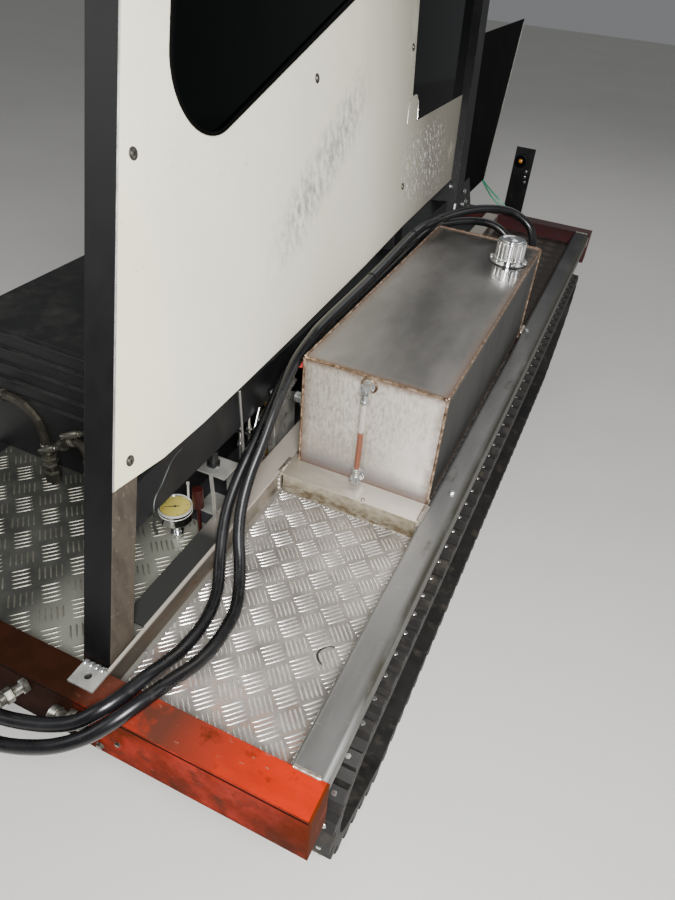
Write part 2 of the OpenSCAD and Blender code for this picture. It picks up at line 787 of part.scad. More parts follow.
module work_lamp() {
    color("gold") rod_y(lamp_x, lamp_y - 26, lamp_y, frame_top + lamp_up, lamp_d, 40);
}

// The cover over the engine: a skin with ribs across its rear face.
module engine_cover() {
    a = [-half_in, -end_inner + floor_l, deck_z];
    b = [wall_x - cover_gap, a[1] + cover_l, deck_z + cover_h];
    color("black") {
        difference() {
            span(a, b);
            span([a[0] - 1, a[1] + cover_t, a[2] - 1], b - [cover_t, cover_t, cover_t]);
        }
        for (k = [1:5]) span([a[0], a[1] - 6, a[2] + cover_h * (0.36 + 0.12 * k)],
            [b[0], a[1], a[2] + cover_h * (0.36 + 0.12 * k) + 8]);
    }
}

// HOSES
// Each route is three groups of points, so that it keeps to the tank's far end, to the
// tank's near end and to the rear beam. Heights are over the frame's top.

far_in = [[-84, 22, 170], [-84, 42, 170], [-84, 62, 170], [-90, 107, 184],
    [-116, 147, 217], [-170, 150, 250], [-242, 112, 260], [-316, 22, 258],
    [-327, -53, 253], [-331, -148, 246]];
near_in = [[-12, 420, 243], [-12, 150, 242], [-14, 70, 238], [-15, -10, 215],
    [-16, -90, 163]];
rear_in = [[-15, 465, 118], [-14, 415, 82], [-8, 370, 50], [5, 330, 22], [23, 290, -5],
    [43, 250, -26], [57, 205, -34], [64, 155, -32], [66, 105, -22], [66, 55, -2],
    [63, 10, 16], [54, -30, 19], [38, -62, 15], [10, -85, -3], [-30, -98, -22],
    [-85, -107, -42], [-135, -111, -56], [-175, -111, -60], [-195, -111, -60],
    [-220, -111, -60]];
far_out = [[-32, 22, 205], [-32, 42, 205], [-32, 62, 205], [-36, 107, 225],
    [-64, 142, 270], [-124, 134, 305], [-194, 92, 312], [-259, 27, 305],
    [-304, -58, 293], [-328, -158, 282]];
near_out = [[-4, 420, 276], [-2, 150, 274], [0, 70, 268], [1, -10, 246], [5, -90, 194]];
rear_out = [[9, 470, 142], [11, 420, 100], [20, 375, 62], [37, 335, 28], [60, 300, -2],
    [82, 260, -24], [97, 220, -34], [103, 175, -34], [105, 130, -30], [103, 85, -18],
    [99, 40, 3], [93, 0, 18], [82, -35, 20], [65, -67, 12], [37, -95, -7],
    [-5, -117, -31], [-55, -129, -57], [-105, -136, -78], [-150, -138, -90],
    [-175, -138, -92], [-195, -138, -92], [-220, -138, -92]];

function route(far, near, rear) = concat(
    [for (p = far) [tank_x1 + p[0] * tank_w / 300, tank_y1 + p[1], frame_top + p[2] * tank_h / 265]],
    [for (p = near) [inner_x + p[0], tank_y0 + p[1], frame_top + p[2] * tank_h / 265]],
    [for (p = rear) [inner_x + p[0], -end_inner + p[1], frame_top + p[2]]]);
route_in = route(far_in, near_in, rear_in);
route_out = route(far_out, near_out, rear_out);

// A tube swept along points: frames carried along so that the rings don't twist.
function unit(v) = v / norm(v);
function tangent(p, i) = unit(p[min(i + 1, len(p) - 1)] - p[max(i - 1, 0)]);
function carried(n, t) = unit(n - (n * t) * t);
function frames(p, i = 0, n = [0, 0, 1]) = i >= len(p) ? []
    : let(m = carried(n, tangent(p, i))) concat([m], frames(p, i + 1, m));
// Rounds a route by a Catmull-Rom point half way between each two.
function smooth(p) = concat([for (i = [0:len(p) - 2]) let(a = p[max(i - 1, 0)], b = p[i],
    c = p[i + 1], d = p[min(i + 2, len(p) - 1)]) each [b, (9 * (b + c) - a - d) / 16]],
    [p[len(p) - 1]]);

module tube(points, d, sides = 10) {
    p = smooth(points);
    m = frames(p);
    rings = [for (i = [0:len(p) - 1]) let(t = tangent(p, i), u = m[i], v = cross(t, u))
        [for (k = [0:sides - 1]) let(a = 360 * k / sides) p[i] + d / 2 * (cos(a) * u + sin(a) * v)]];
    polyhedron(points = [for (r = rings, q = r) q],
        faces = concat([[for (k = [0:sides - 1]) k]],
            [for (i = [0:len(p) - 2], k = [0:sides - 1])
                let(a = i * sides, b = a + sides, j = (k + 1) % sides)
                each [[a + k, b + k, a + j], [a + j, b + k, b + j]]],
            [[for (k = [sides - 1:-1:0]) (len(p) - 1) * sides + k]]));
}

module hose_inner() {
    color("#1a1a1c") tube(route_in, hose_d);
}

module hose_outer() {
    color("#1a1a1c") tube(route_out, hose_d);
}

// Fittings on the tank's far end, where the hoses start, and one on its inboard side.
module tank_ports() {
    color("silver") {
        for (p = [route_in[0], route_out[0]]) {
            rod_y(p[0], tank_y1, p[1], p[2], hose_d + 5);
            rod_y(p[0], tank_y1, tank_y1 + 9, p[2], hose_d + 16, 6);
        }
        rod_x(tank_x0 - 26, tank_x0, tank_y0 + 24, frame_top + 0.56 * tank_h, 24);
        rod_x(tank_x0 - 10, tank_x0, tank_y0 + 24, frame_top + 0.56 * tank_h, 34);
    }
}

// Quick couplers at the hoses' free ends, held by a bracket on the rear beam.
module quick_couplers() {
    color("silver") {
        for (r = [route_in, route_out]) {
            p = r[len(r) - 1];
            rod_x(p[0] - coupler_d, p[0], p[1], p[2], 0.8 * coupler_d);
            rod_x(p[0] - 2 * coupler_d, p[0] - coupler_d, p[1], p[2], coupler_d);
        }
        a = route_in[len(route_in) - 1];
        b = route_out[len(route_out) - 1];
        span([a[0] - 1.6 * coupler_d, b[1] - 0.8 * coupler_d, b[2] - 0.8 * coupler_d],
            [a[0] - 1.4 * coupler_d, -end_outer, a[2] + 0.8 * coupler_d]);
    }
}

module lug_plate() {
    x = inner_x - lug_w + 3;
    color("lightgray") difference() {
        span([x, -end_inner - lug_l, frame_top], [x + lug_w, -end_inner, frame_top + lug_t]);
        rod_z(x + lug_w / 2, -end_inner - lug_l / 2, frame_top - 1, frame_top + lug_t + 1, lug_hole);
    }
}

// HYDRAULICS AND SWITCHES BESIDE THE CAB SIDE

gauge_x = wall_x - 104;
gauge_y = -end_inner + gauge_back;
gauge_z = deck_z + 82;

module gauge_case() {
    color("lightgray") {
        difference() {
            rod_z(gauge_x, gauge_y, gauge_z - gauge_h, gauge_z, gauge_d, fine);
            rod_z(gauge_x, gauge_y, gauge_z - 4, gauge_z + 1, gauge_d - 7, fine);
        }
        rod_z(gauge_x, gauge_y, deck_z + 14, gauge_z - gauge_h, 16);
        rod_z(gauge_x, gauge_y, deck_z, deck_z + 14, 30, 6);
    }
}

module gauge_dial() {
    color("khaki") rod_z(gauge_x, gauge_y, gauge_z - 4, gauge_z - 2.5, gauge_d - 7.6, fine);
}

// A valve body on a plate between the rail and the engine cover.
module valve_block() {
    x = wall_x - 62;
    y = tank_y0 + 24;
    color("silver") {
        span([x - 34, y - 40, deck_z], [x + 6, y + 130, deck_z + plate_t]);
        span([x - 18, y + 10, deck_z + plate_t], [x + 6, y + 110, frame_top + 78]);
        for (k = [0:2]) rod_z(x - 6, y + 28 + 32 * k, frame_top + 78, frame_top + 96, 18, 6);
    }
}

module brass_fitting() {
    x = wall_x - 72;
    y = tank_y0 + 12;
    color("goldenrod") {
        rod_z(x, y, deck_z + plate_t, frame_top + 40, 20);
        rod_z(x, y, frame_top + 40, frame_top + 58, 30, 6);
        rod_z(x, y, frame_top + 58, frame_top + 92, 16);
    }
}

// Bent tubes that come out of the floor behind the engine cover, as [distance from the
// cab side, height over the floor].
elbow_1 = [[-592, 150], [-538, 183], [-504, 192], [-468, 183], [-441, 156], [-432, 115],
    [-432, 60], [-432, 8]];
elbow_2 = [[-441, 77], [-400, 104], [-360, 134], [-335, 134], [-322, 110], [-321, 71],
    [-321, 40], [-321, 8]];

module steel_elbows() {
    color("silver") {
        for (r = [elbow_1, elbow_2]) {
            p = [for (q = r) [wall_x + q[0], -end_inner + floor_l - pipe_gap, deck_z + q[1]]];
            tube(p, pipe_d);
            rod_z(p[7][0], p[7][1], deck_z, p[7][2] + 22, 1.7 * pipe_d, 6);
            rod_z(p[7][0], p[7][1], p[7][2] + 22, p[7][2] + 40, 1.4 * pipe_d);
        }
    }
}

switch_x = wall_x - 116;
switch_y = -end_inner + switch_back;

module switch_bracket() {
    top = deck_z + switch_up;
    color("lightgray") {
        span([switch_x, switch_y - 28, deck_z], [switch_x + 70, switch_y + 34, deck_z + plate_t]);
        span([switch_x + 40, switch_y + 30, deck_z + plate_t], [switch_x + 70, switch_y + 34, top]);
        span([switch_x - 10, switch_y - 24, top], [switch_x + 70, switch_y + 34, top + 4]);
    }
}

module limit_switch() {
    top = deck_z + switch_up + 4;
    color("black") {
        rod_z(switch_x + 26, switch_y + 6, top, top + 36, 20);
        rod_z(switch_x + 26, switch_y + 6, top, top + 6, 30, 6);
    }
}

module lever_rods() {
    x = wall_x - 96;
    color("silver") {
        rod_z(x, tank_y0 - 50, deck_z, frame_top + 160, rod_d);
        rod_z(x + 8, tank_y0 - 26, deck_z, frame_top + 100, rod_d);
    }
}

rear_beam();
front_beam();
outer_rail();
inner_rail();
middle_tube();
deck_plate();
floor_plate();
under_pan();
cross_bearers();
chassis_rail();
track();
track_frame();
road_wheels();
drive_sprocket();
drive_motor();
idler_wheel();
carrier_rollers();
oil_tank();
tank_cradle();
filler_flange();
filler_cap();
sight_fittings();
sight_tube();
sight_oil();
rear_post();
front_post();
side_frame();
side_panel();
nose_panel();
window_seals();
window_glass();
engine_cover();
hose_inner();
hose_outer();
tank_ports();
quick_couplers();
lug_plate();
gauge_case();
gauge_dial();
valve_block();
brass_fitting();
steel_elbows();
switch_bracket();
limit_switch();
lever_rods();
lamp_bracket();
work_lamp();
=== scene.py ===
"""Looks of the right-hand rear side of a small snow groomer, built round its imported
part: the deck with the hydraulic oil tank, the cab side, the hoses and the track unit."""

from math import acos, atan2, cos, hypot, pi, radians, sin, sqrt, tan

import bpy
import numpy as np
from mathutils import Matrix, Vector


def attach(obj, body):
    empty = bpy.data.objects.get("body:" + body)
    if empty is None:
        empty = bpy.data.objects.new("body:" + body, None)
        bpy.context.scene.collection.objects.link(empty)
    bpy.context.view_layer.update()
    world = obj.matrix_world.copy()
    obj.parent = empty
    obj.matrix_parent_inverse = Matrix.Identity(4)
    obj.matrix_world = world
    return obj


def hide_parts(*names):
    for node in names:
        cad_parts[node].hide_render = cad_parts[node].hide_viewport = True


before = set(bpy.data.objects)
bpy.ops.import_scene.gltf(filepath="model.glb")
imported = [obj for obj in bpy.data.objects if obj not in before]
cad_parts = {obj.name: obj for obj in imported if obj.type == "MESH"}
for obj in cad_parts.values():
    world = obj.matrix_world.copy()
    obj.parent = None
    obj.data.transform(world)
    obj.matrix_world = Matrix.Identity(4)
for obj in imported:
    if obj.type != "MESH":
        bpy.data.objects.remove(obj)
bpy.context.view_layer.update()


# VIEW, FLOOR AND LIGHT
# The picture is taken by someone standing behind the machine's right rear corner and
# looking down along the deck, with a lamp beside the camera. The floor is a plain pale
# screed, and large soft lamps stand round the machine.

# The camera's place and turn are fitted to the straight edges of deck, tank and sheet.
view = bpy.data.objects.new("view", bpy.data.cameras.new("view"))
view.matrix_world = Matrix((
    (0.90657, -0.31064, 0.28572, 0.333),
    (0.41542, 0.53723, -0.73404, -1.712),
    (0.07452, 0.78415, 0.61608, 1.500),
    (0.0, 0.0, 0.0, 1.0)))
view.data.sensor_width = 36
view.data.lens = 27.6
view.data.clip_end = 200
link = bpy.context.scene.collection.objects.link
link(view)
bpy.context.scene.camera = view


def linear(code):
    """Turns an sRGB hex colour into the linear one that a shader takes."""
    parts = [int(code[k:k + 2], 16) / 255 for k in (1, 3, 5)]
    return [c / 12.92 if c <= 0.04045 else ((c + 0.055) / 1.055) ** 2.4 for c in parts] + [1]


def add(mat, kind, settings=None, links=None):
    """Adds a node to a material, with its settings and with links to its inputs."""
    node = mat.node_tree.nodes.new("ShaderNode" + kind)
    for key, value in (settings or {}).items():
        if key == "stops":
            ramp = node.color_ramp.elements
            while len(ramp) < len(value):
                ramp.new(1)
            for stop, (place, colour) in zip(ramp, value):
                stop.position = place
                stop.color = colour
        elif isinstance(key, int) or key in node.inputs:
            node.inputs[key].default_value = value
        else:
            setattr(node, key, value)
    for key, source in (links or {}).items():
        mat.node_tree.links.new(source, node.inputs[key])
    return node


def finish(name, colours, patch, rough, grit, depth, metallic=0.0, stretch=(1, 1, 1),
           inputs=None):
    """Starts a material: patches of the hex colours, patch mm across, roughness from
    rough[0] to rough[1], a surface of grit mm across and depth mm deep, and constant
    values for the shader's other inputs."""
    mat = bpy.data.materials.new(name)
    mat.use_nodes = True
    shader = mat.node_tree.nodes["Principled BSDF"]
    for socket, value in {"Metallic": metallic, **(inputs or {})}.items():
        shader.inputs[socket].default_value = value
    place = add(mat, "TexCoord").outputs["Object"]
    flow = add(mat, "Mapping", {"Scale": stretch}, {"Vector": place}).outputs[0]
    blots = add(mat, "TexNoise", {"Scale": 1000 / patch, "Detail": 6, "Roughness": 0.62},
                {"Vector": flow}).outputs["Fac"]
    last = max(len(colours) - 1, 1)
    base = add(mat, "ValToRGB", {"stops": [(0.34 + 0.32 * k / last, linear(c))
                                           for k, c in enumerate(colours)]}, {"Fac": blots})
    gloss = add(mat, "MapRange", {"From Min": 0.3, "From Max": 0.7, "To Min": rough[0],
                                  "To Max": rough[1]}, {"Value": blots})
    grain = add(mat, "TexNoise", {"Scale": 1000 / grit, "Detail": 4}, {"Vector": flow})
    bump = add(mat, "Bump", {"Distance": depth / 1000}, {"Height": grain.outputs["Fac"]})
    for node, out, socket in ((base, "Color", "Base Color"), (gloss, "Result", "Roughness"),
                              (bump, "Normal", "Normal")):
        mat.node_tree.links.new(node.outputs[out], shader.inputs[socket])
    return mat


# Floor, 28 m square: power-floated screed, pale and matt, so that it takes soft shadows.
screed = finish("power_floated_screed", ["#D9D7D2", "#DEDCD8"], 900, (0.75, 0.8), 4, 0.1)
ground = bpy.data.meshes.new("floor")
half = 14
ground.from_pydata([(x * half, y * half, 0) for x, y in ((-1, -1), (1, -1), (1, 1), (-1, 1))],
                   [], [(0, 1, 2, 3)])
ground.materials.append(screed)
floor = bpy.data.objects.new("floor", ground)
link(floor)

# Square lamps: their place, what they point at, their width in metres and power in watts.
lamps = (((0.55, -2.0, 1.85), (-0.1, -0.5, 0.5), 0.55, 72),
         ((1.1, -2.6, 3.1), (-0.1, -0.2, 0.5), 1.4, 34),
         ((3.4, 0.2, 2.4), (-0.1, -0.2, 0.6), 2.4, 34),
         ((-2.6, -2.8, 2.8), (-0.4, -0.4, 0.8), 2.0, 22),
         ((0.6, 3.4, 3.4), (-0.2, 0.6, 0.8), 2.2, 20))
for place, aim, width, power in lamps:
    lamp = bpy.data.objects.new("lamp", bpy.data.lights.new("lamp", "AREA"))
    lamp.data.size = width
    lamp.data.energy = power
    lamp.location = place
    lamp.rotation_euler = (Vector(aim) - Vector(place)).to_track_quat("-Z", "Y").to_euler()
    link(lamp)
world = bpy.data.worlds.new("soft_room")
world.use_nodes = True
background = world.node_tree.nodes["Background"].inputs
background["Color"].default_value = linear("#E6E8EA")
background["Strength"].default_value = 0.24
bpy.context.scene.world = world


# END BEAMS
# Box-section beams across both ends of the deck, of mild steel welded up and brushed with
# orange-red machine enamel. Feet have worn it to brown primer and rust. On the rear beam,
# painted shade darkens the rear face, the groove under the top strip and the inboard end.

ahead, outboard, upward = (0, 1, 0), (1, 0, 0), (0, 0, 1)


def overlay(mat, rows):
    """Lays colours over a material. A row is a hex colour, the roughness that comes with
    it, and masks, each a function with its values. It shows where all its masks are 1."""
    shader = mat.node_tree.nodes["Principled BSDF"]
    for colour, rough, *masks in rows:
        shares = [mask(mat, *values) for mask, *values in masks]
        whole = shares[0]
        for share in shares[1:]:
            whole = add(mat, "Math", {"operation": "MULTIPLY"}, {0: whole, 1: share}).outputs[0]
        for socket, kind, value, a, b, out in (("Base Color", "RGBA", linear(colour), 6, 7, 2),
                                               ("Roughness", "FLOAT", rough, 2, 3, 0)):
            under = shader.inputs[socket].links[0].from_socket
            mix = add(mat, "Mix", {"data_type": kind, b: value}, {0: whole, a: under})
            mat.node_tree.links.new(mix.outputs[out], shader.inputs[socket])


def spots(mat, size, low, high, shift=0.0, stretch=(1, 1, 1)):
    """A mask of blots, size mm apart, that rises from 0 to 1 between low and high."""
    place = add(mat, "TexCoord").outputs["Object"]
    flow = add(mat, "Mapping", {"Scale": stretch, "Location": (shift, shift, shift)},
               {"Vector": place}).outputs[0]
    noise = add(mat, "TexNoise", {"Scale": 1000 / size, "Detail": 5, "Roughness": 0.65},
                {"Vector": flow})
    return add(mat, "MapRange", {"From Min": low, "From Max": high},
               {"Value": noise.outputs["Fac"]}).outputs["Result"]


def along(mat, way, low, high, source=("TexCoord", "Object"), unit=1000):
    """A mask that rises from 0 at low to 1 at high, in mm along the direction way."""
    kind, socket = source
    share = add(mat, "VectorMath", {"operation": "DOT_PRODUCT", 1: way},
                {0: add(mat, kind).outputs[socket]})
    return add(mat, "MapRange", {"From Min": low / unit, "From Max": high / unit},
               {"Value": share.outputs["Value"]}).outputs["Result"]


def facing(mat, way, low, high):
    """The same for how squarely the surface looks along way, from -1 to 1."""
    return along(mat, way, low, high, ("NewGeometry", "Normal"), 1)


def edges(mat, width, low=0.02, high=0.3):
    """A mask of the edges that hands and tools rub, about width mm wide."""
    soft = add(mat, "Bevel", {"samples": 6, "Radius": width / 1000}).outputs[0]
    true = add(mat, "NewGeometry").outputs["True Normal"]
    same = add(mat, "VectorMath", {"operation": "DOT_PRODUCT"}, {0: soft, 1: true})
    return add(mat, "MapRange", {"From Min": 1 - low, "From Max": 1 - high},
               {"Value": same.outputs["Value"]}).outputs["Result"]


# Brushed enamel: half-gloss orange red in long brush strokes, with chips and brown stains.
faces_up = (facing, upward, 0.7, 0.95)
enamel = finish("brushed_red_enamel", ["#7E1A05", "#A42106", "#B42708"], 160, (0.3, 0.55),
                2.5, 0.12, 0, (0.35, 1, 1), {"Specular IOR Level": 0.05})
overlay(enamel, [
    # Painted shade: the rear face is browner and darker, in patches.
    ("#571A01", 0.7, (facing, ahead, -0.6, -0.9), (spots, 90, 0.3, 0.62)),
    # Brown wear on the top towards the inboard end, partly painted shade.
    ("#4C281E", 0.78, (along, outboard, 130, -60), faces_up, (spots, 110, 0.2, 0.5, 5)),
    # Darker towards the bottom, in patches.
    ("#3E1A0C", 0.66, (along, upward, 470, 415), (spots, 60, 0.38, 0.62)),
    ("#4E1E0E", 0.6, (spots, 42, 0.56, 0.7, 3)),
    ("#7A5040", 0.45, (spots, 7, 0.66, 0.7, 7, (0.3, 1, 1))),
    ("#33201A", 0.62, (edges, 3), (spots, 14, 0.46, 0.6)),
    # Painted shade: near black inboard of the post, with dark patches beside it.
    ("#1E0D05", 0.85, (along, outboard, -168, -222)),
    ("#241008", 0.8, (along, outboard, -120, -260), (spots, 40, 0.4, 0.6, 9)),
    # Painted shade: a dark line in the groove under the top strip.
    ("#140A07", 0.8, (along, upward, 519.4, 520.6), (along, upward, 525.2, 524.1)),
    ("#522008", 0.7, (along, outboard, 187.3, 188), (spots, 50, 0.2, 0.45))])

# The front beam has the same enamel in a dark, dull wine red.
dark_enamel = finish("dark_dull_red_enamel", ["#28090A", "#3C0E0E", "#4A130F"], 160,
                     (0.4, 0.62), 2.5, 0.12, 0, (0.35, 1, 1))
overlay(dark_enamel, [("#2E1B17", 0.7, (spots, 30, 0.58, 0.68))])


def coat(node, mat, edge):
    """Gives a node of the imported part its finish. Where edge isn't 0, it joins the flat
    faces and rounds edges of 28 degrees and more by edge mm."""
    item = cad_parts[node]
    for slot in item.material_slots:
        slot.material = mat
    if edge:
        custom = item.data.attributes.get("custom_normal")
        if custom:
            item.data.attributes.remove(custom)
        item.data.shade_smooth()
        item.modifiers.new("weld", "WELD").merge_threshold = 2e-5
        flat = item.modifiers.new("flat", "DECIMATE")
        flat.decimate_type = "DISSOLVE"
        flat.angle_limit = radians(0.4)
        bevel = item.modifiers.new("edge", "BEVEL")
        bevel.width = edge / 1000
        bevel.segments = 2
        bevel.limit_method = "ANGLE"
        bevel.angle_limit = radians(28)
        bevel.harden_normals = True


coat("rear_beam", enamel, 1.6)
coat("front_beam", dark_enamel, 1.6)


def piece(name, shapes, mat, body="side_section", smooth=40):
    """Makes one piece from shapes, each a list of points in mm and a list of faces, and
    fixes it to a body. Edges sharper than smooth degrees stay sharp."""
    points, faces = [], []
    for some_points, some_faces in shapes:
        start = len(points)
        points += [tuple(0.001 * c for c in p) for p in some_points]
        faces += [tuple(start + k for k in f) for f in some_faces]
    mesh = bpy.data.meshes.new(name)
    mesh.from_pydata(points, [], faces)
    mesh.materials.append(mat)
    if smooth:
        mesh.shade_smooth()
        mesh.set_sharp_from_angle(angle=radians(smooth))
    item = bpy.data.objects.new(name, mesh)
    link(item)
    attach(item, body)
    return item


def rings(loops):
    """Joins rings of points, all of one length, into a closed skin."""
    n = len(loops[0])
    points = [p for loop in loops for p in loop]
    faces = [(k * n + j, k * n + (j + 1) % n, k * n + n + (j + 1) % n, k * n + n + j)
             for k in range(len(loops) - 1) for j in range(n)]
    return points, faces + [tuple(range(n - 1, -1, -1)),
                            tuple(range(len(points) - n, len(points)))]


def swept(path, radius, sides=10, squash=1.0):
    """A round bar along a path in mm. radius is one value, or one for each point."""
    path = np.array(path, float)
    ways = np.gradient(path, axis=0)
    ways /= np.linalg.norm(ways, axis=1)[:, None]
    side = np.cross(ways[0], (0, 0, 1) if abs(ways[0][2]) < 0.9 else (1, 0, 0))
    loops = []
    for p, t, r in zip(path, ways, np.broadcast_to(radius, len(path))):
        side = side - t * side.dot(t)
        side /= np.linalg.norm(side)
        up = np.cross(side, t)
        turns = [2 * pi * j / sides for j in range(sides)]
        loops.append([p + r * (cos(a) * side + squash * sin(a) * up) for a in turns])
    return rings(loops)


def turned(profile, place, axis=(0, 0, 1), sides=24, start=0.0):
    """A turned shape: profile gives radius and height in mm up the axis from place. It is
    an open ring where the profile ends where it starts."""
    turn = Vector(axis).normalized().to_track_quat("Z", "Y").to_matrix()
    turns = [start + 2 * pi * j / sides for j in range(sides)]
    points, faces = rings([[Vector(place) + turn @ Vector((r * cos(a), r * sin(a), h))
                            for a in turns] for r, h in profile])
    return points, faces[:-2] if profile[0] == profile[-1] else faces


def bolt(place, axis=(0, 0, 1), size=8, start=0.3):
    """A washer and a hexagon head for a thread of size mm, as two shapes."""
    washer = [(size, 0), (size, 0.12 * size), (0.96 * size, 0.16 * size), (0, 0.16 * size)]
    head = [(0.85 * size, 0.16 * size), (0.87 * size, 0.7 * size), (0.74 * size, 0.82 * size),
            (0, 0.82 * size)]
    return [turned(washer, place, axis, 20), turned(head, place, axis, 6, start)]


# Zinc plate on bolts and nuts: bright bluish grey metal, so that each head catches light.
zinc_bolts = finish("zinc_plated_fastener", ["#A3A6A5", "#C9CBCA"], 9, (0.2, 0.34), 0.8, 0.02, 0.9)

# The same plate under road dirt: olive grey, with small glints where a tool has turned it.
grimy_zinc = finish("grimy_zinc_plate", ["#4E4C43", "#77756B", "#A5A49C"], 14, (0.24, 0.42), 1,
                    0.04, 0.85)

# On the rear face: a plugged outlet with two nuts that points inboard, a knurled cap with
# its cone in a clip, and two bolts.
beam_back, rearward = -1315, (0, -1, 0)
outlet = [turned(profile, (-306, beam_back, 506), (-0.31, -0.95, 0.02), sides, start)
          for profile, sides, start in (
              ([(13, 0), (13, 9), (12, 10), (8, 10)], 6, 0),
              ([(8.4, 9), (8.4, 22), (9.4, 23), (9.4, 27)], 24, 0),
              ([(12, 24), (13, 25), (13, 36), (12, 37)], 6, 0.4),
              ([(9.8, 36), (9.8, 44), (8, 46)], 24, 0),
              ([(11, 45), (11.6, 46), (11.6, 56), (10, 58), (0, 58)], 6, 0))]
cap_at = (-236, -1328, 488)
knurls = [(13 - 0.9 * (k % 2), 1.2 * k) for k in range(12)]
outlet += [turned([(11.5, -0.8)] + knurls + [(11.5, 14)], cap_at, (-1, 0, 0), 36),
           turned([(11, 0), (11, 6), (9, 18), (8.6, 30), (5.5, 52), (4.6, 70), (3, 72), (0, 72)],
                  cap_at, outboard, 28)]
clip_line = [(-214, y, z) for y, z in ((beam_back, 475), (-1328, 475), (-1339, 481),
                                       (-1340, 491), (-1330, 500), (beam_back, 501))]
outlet += [swept(clip_line, 6, 8, 0.25)] + bolt((-176, beam_back, 429), rearward, 7)
outlet += bolt((-137, beam_back, 464), rearward, 5)
piece("beam_outlets", outlet, grimy_zinc)


# OUTER RAIL
# A square tube with round corners along the deck's outer edge. It is raw mill steel, greasy
# and welded to both end beams, with a painted highlight along its outer corner near the rear.

# Raw mill steel: even mid grey with a cloudy shine and fine scratches across it.
mill_steel = finish("raw_mill_steel", ["#6B6A68", "#7D7C7A", "#8C8B89"], 150, (0.32, 0.46),
                    1.6, 0.04, 0.6, (1, 0.22, 1))
overlay(mill_steel, [
    ("#5A5148", 0.5, (spots, 45, 0.6, 0.74, 5, (1, 0.4, 1))),
    ("#A9A9A8", 0.3, (spots, 3, 0.66, 0.74, 2, (0.1, 1, 1))),
    # Painted reflection of grass: the outboard side olive, in patches.
    ("#4A483C", 0.5, (facing, outboard, 0.8, 0.98), (spots, 60, 0.3, 0.6, 6, (1, 0.4, 1))),
    # Painted shade over the rail's far part, in broad patches.
    ("#29292A", 0.4, (along, ahead, -500, 1000), (spots, 300, 0.1, 0.5)),
    # Painted highlight on the round outer corner near the rear.
    ("#A6A6A4", 0.3, (facing, outboard, 0.08, 0.4), (facing, upward, 0.08, 0.4),
     (along, ahead, -950, -1200)),
    ("#45433A", 0.46, (along, outboard, 170, 182), (along, ahead, -1200, -1100),
     (spots, 60, 0.2, 0.5, 3, (1, 0.3, 1)))])
coat("outer_rail", mill_steel, 0)

# Weld metal: silver ripples with straw and brown heat colours beside them.
weld_steel = finish("blued_weld_steel", ["#8A867F", "#C6C0B5", "#8A7462"], 12, (0.22, 0.4),
                    1.2, 0.08, 0.85)


def bead(path, width, lift=0.55):
    """A weld bead along straight runs between points in mm, with a ripple every 2.6 mm.
    lift is its height over its width."""
    line = [np.array(path[0], float)]
    for a, b in zip(path, path[1:]):
        a, b = np.array(a, float), np.array(b, float)
        n = max(2, int(np.linalg.norm(b - a) / 1.3))
        line += [a + (b - a) * k / n for k in range(1, n + 1)]
    radii = [width / 2 * (1 + 0.13 * (k % 2) + 0.05 * sin(k * 0.7)) for k in range(len(line))]
    radii[0] = radii[-1] = width / 4
    return swept(line, radii, 8, lift)


rail_x0, rail_x1, rail_top, bay_end = 127, 187, 530, 1255
beads = []
for end in (-1, 1):
    y = end * (bay_end - 1)
    beads += [bead([(rail_x0 + 6, y, rail_top), (rail_x1 - 8, y, rail_top)], 7),
              bead([(rail_x1, y, rail_top - 10), (rail_x1, y, rail_top - 54)], 7)]
piece("rail_welds", beads, weld_steel)
rail_bolts = bolt((161, -569, rail_top), size=7)
rail_bolts += bolt((141, 268, rail_top), size=7, start=0.8)
piece("rail_bolts", rail_bolts, zinc_bolts)


# TREAD PLATE
# The deck and the floor behind the engine are aluminium tread plate, rolled with groups of
# five raised bars that cross at right angles. Feet have dulled it, and rain lies on it.

# Rolled aluminium, walked on: a warm pale grey with a soft sheen and fine dark scuffs.
plate_alu = finish("rolled_aluminium_plate", ["#7E7974", "#98938E", "#B0AAA5"], 90,
                   (0.36, 0.54), 3, 0.05, 0.6)
overlay(plate_alu, [
    ("#8D8A84", 0.5, (spots, 30, 0.54, 0.72, 4)),
    ("#77746E", 0.55, (spots, 2.5, 0.62, 0.7, 9, (1, 0.3, 1))),
    # Painted reflection of the red beam, near the rear beam.
    ("#B58C7C", 0.5, (along, ahead, -1120, -1250), (spots, 36, 0.44, 0.62)),
    # Painted shadow of the tank, beyond its far end.
    ("#3B342F", 0.6, (along, ahead, 290, 420))])
coat("deck_plate", plate_alu, 0)

# The same plate behind the engine, darkened by painted shade: dark grey green between the bars.
shaded_floor_plate = finish("shade_darkened_aluminium_plate", ["#3A3B37", "#494A45", "#585953"], 120,
                     (0.34, 0.5), 3, 0.05, 0.6)
# A painted pool of light on its outboard part, beside the post.
overlay(shaded_floor_plate, [("#8B8B80", 0.46, (along, outboard, -450, -350))])
coat("floor_plate", shaded_floor_plate, 0)

# One bar: half width and height in mm, and its lean to the plate's width. Five lie bar_gap
# apart in a group. Groups of one direction repeat every group_x across and group_y along the
# plate, groups_x and groups_y times each way from its middle.
bar_w, bar_h, bar_gap, lean = 1.9, 1.3, 8.3, radians(47)
group_x, group_y, groups_x, groups_y = 58, 63, 16, 24
bar_ring = [(-1, 0), (-0.7, -0.9), (0.7, -0.9), (1, 0), (0.7, 0.9), (-0.7, 0.9)]


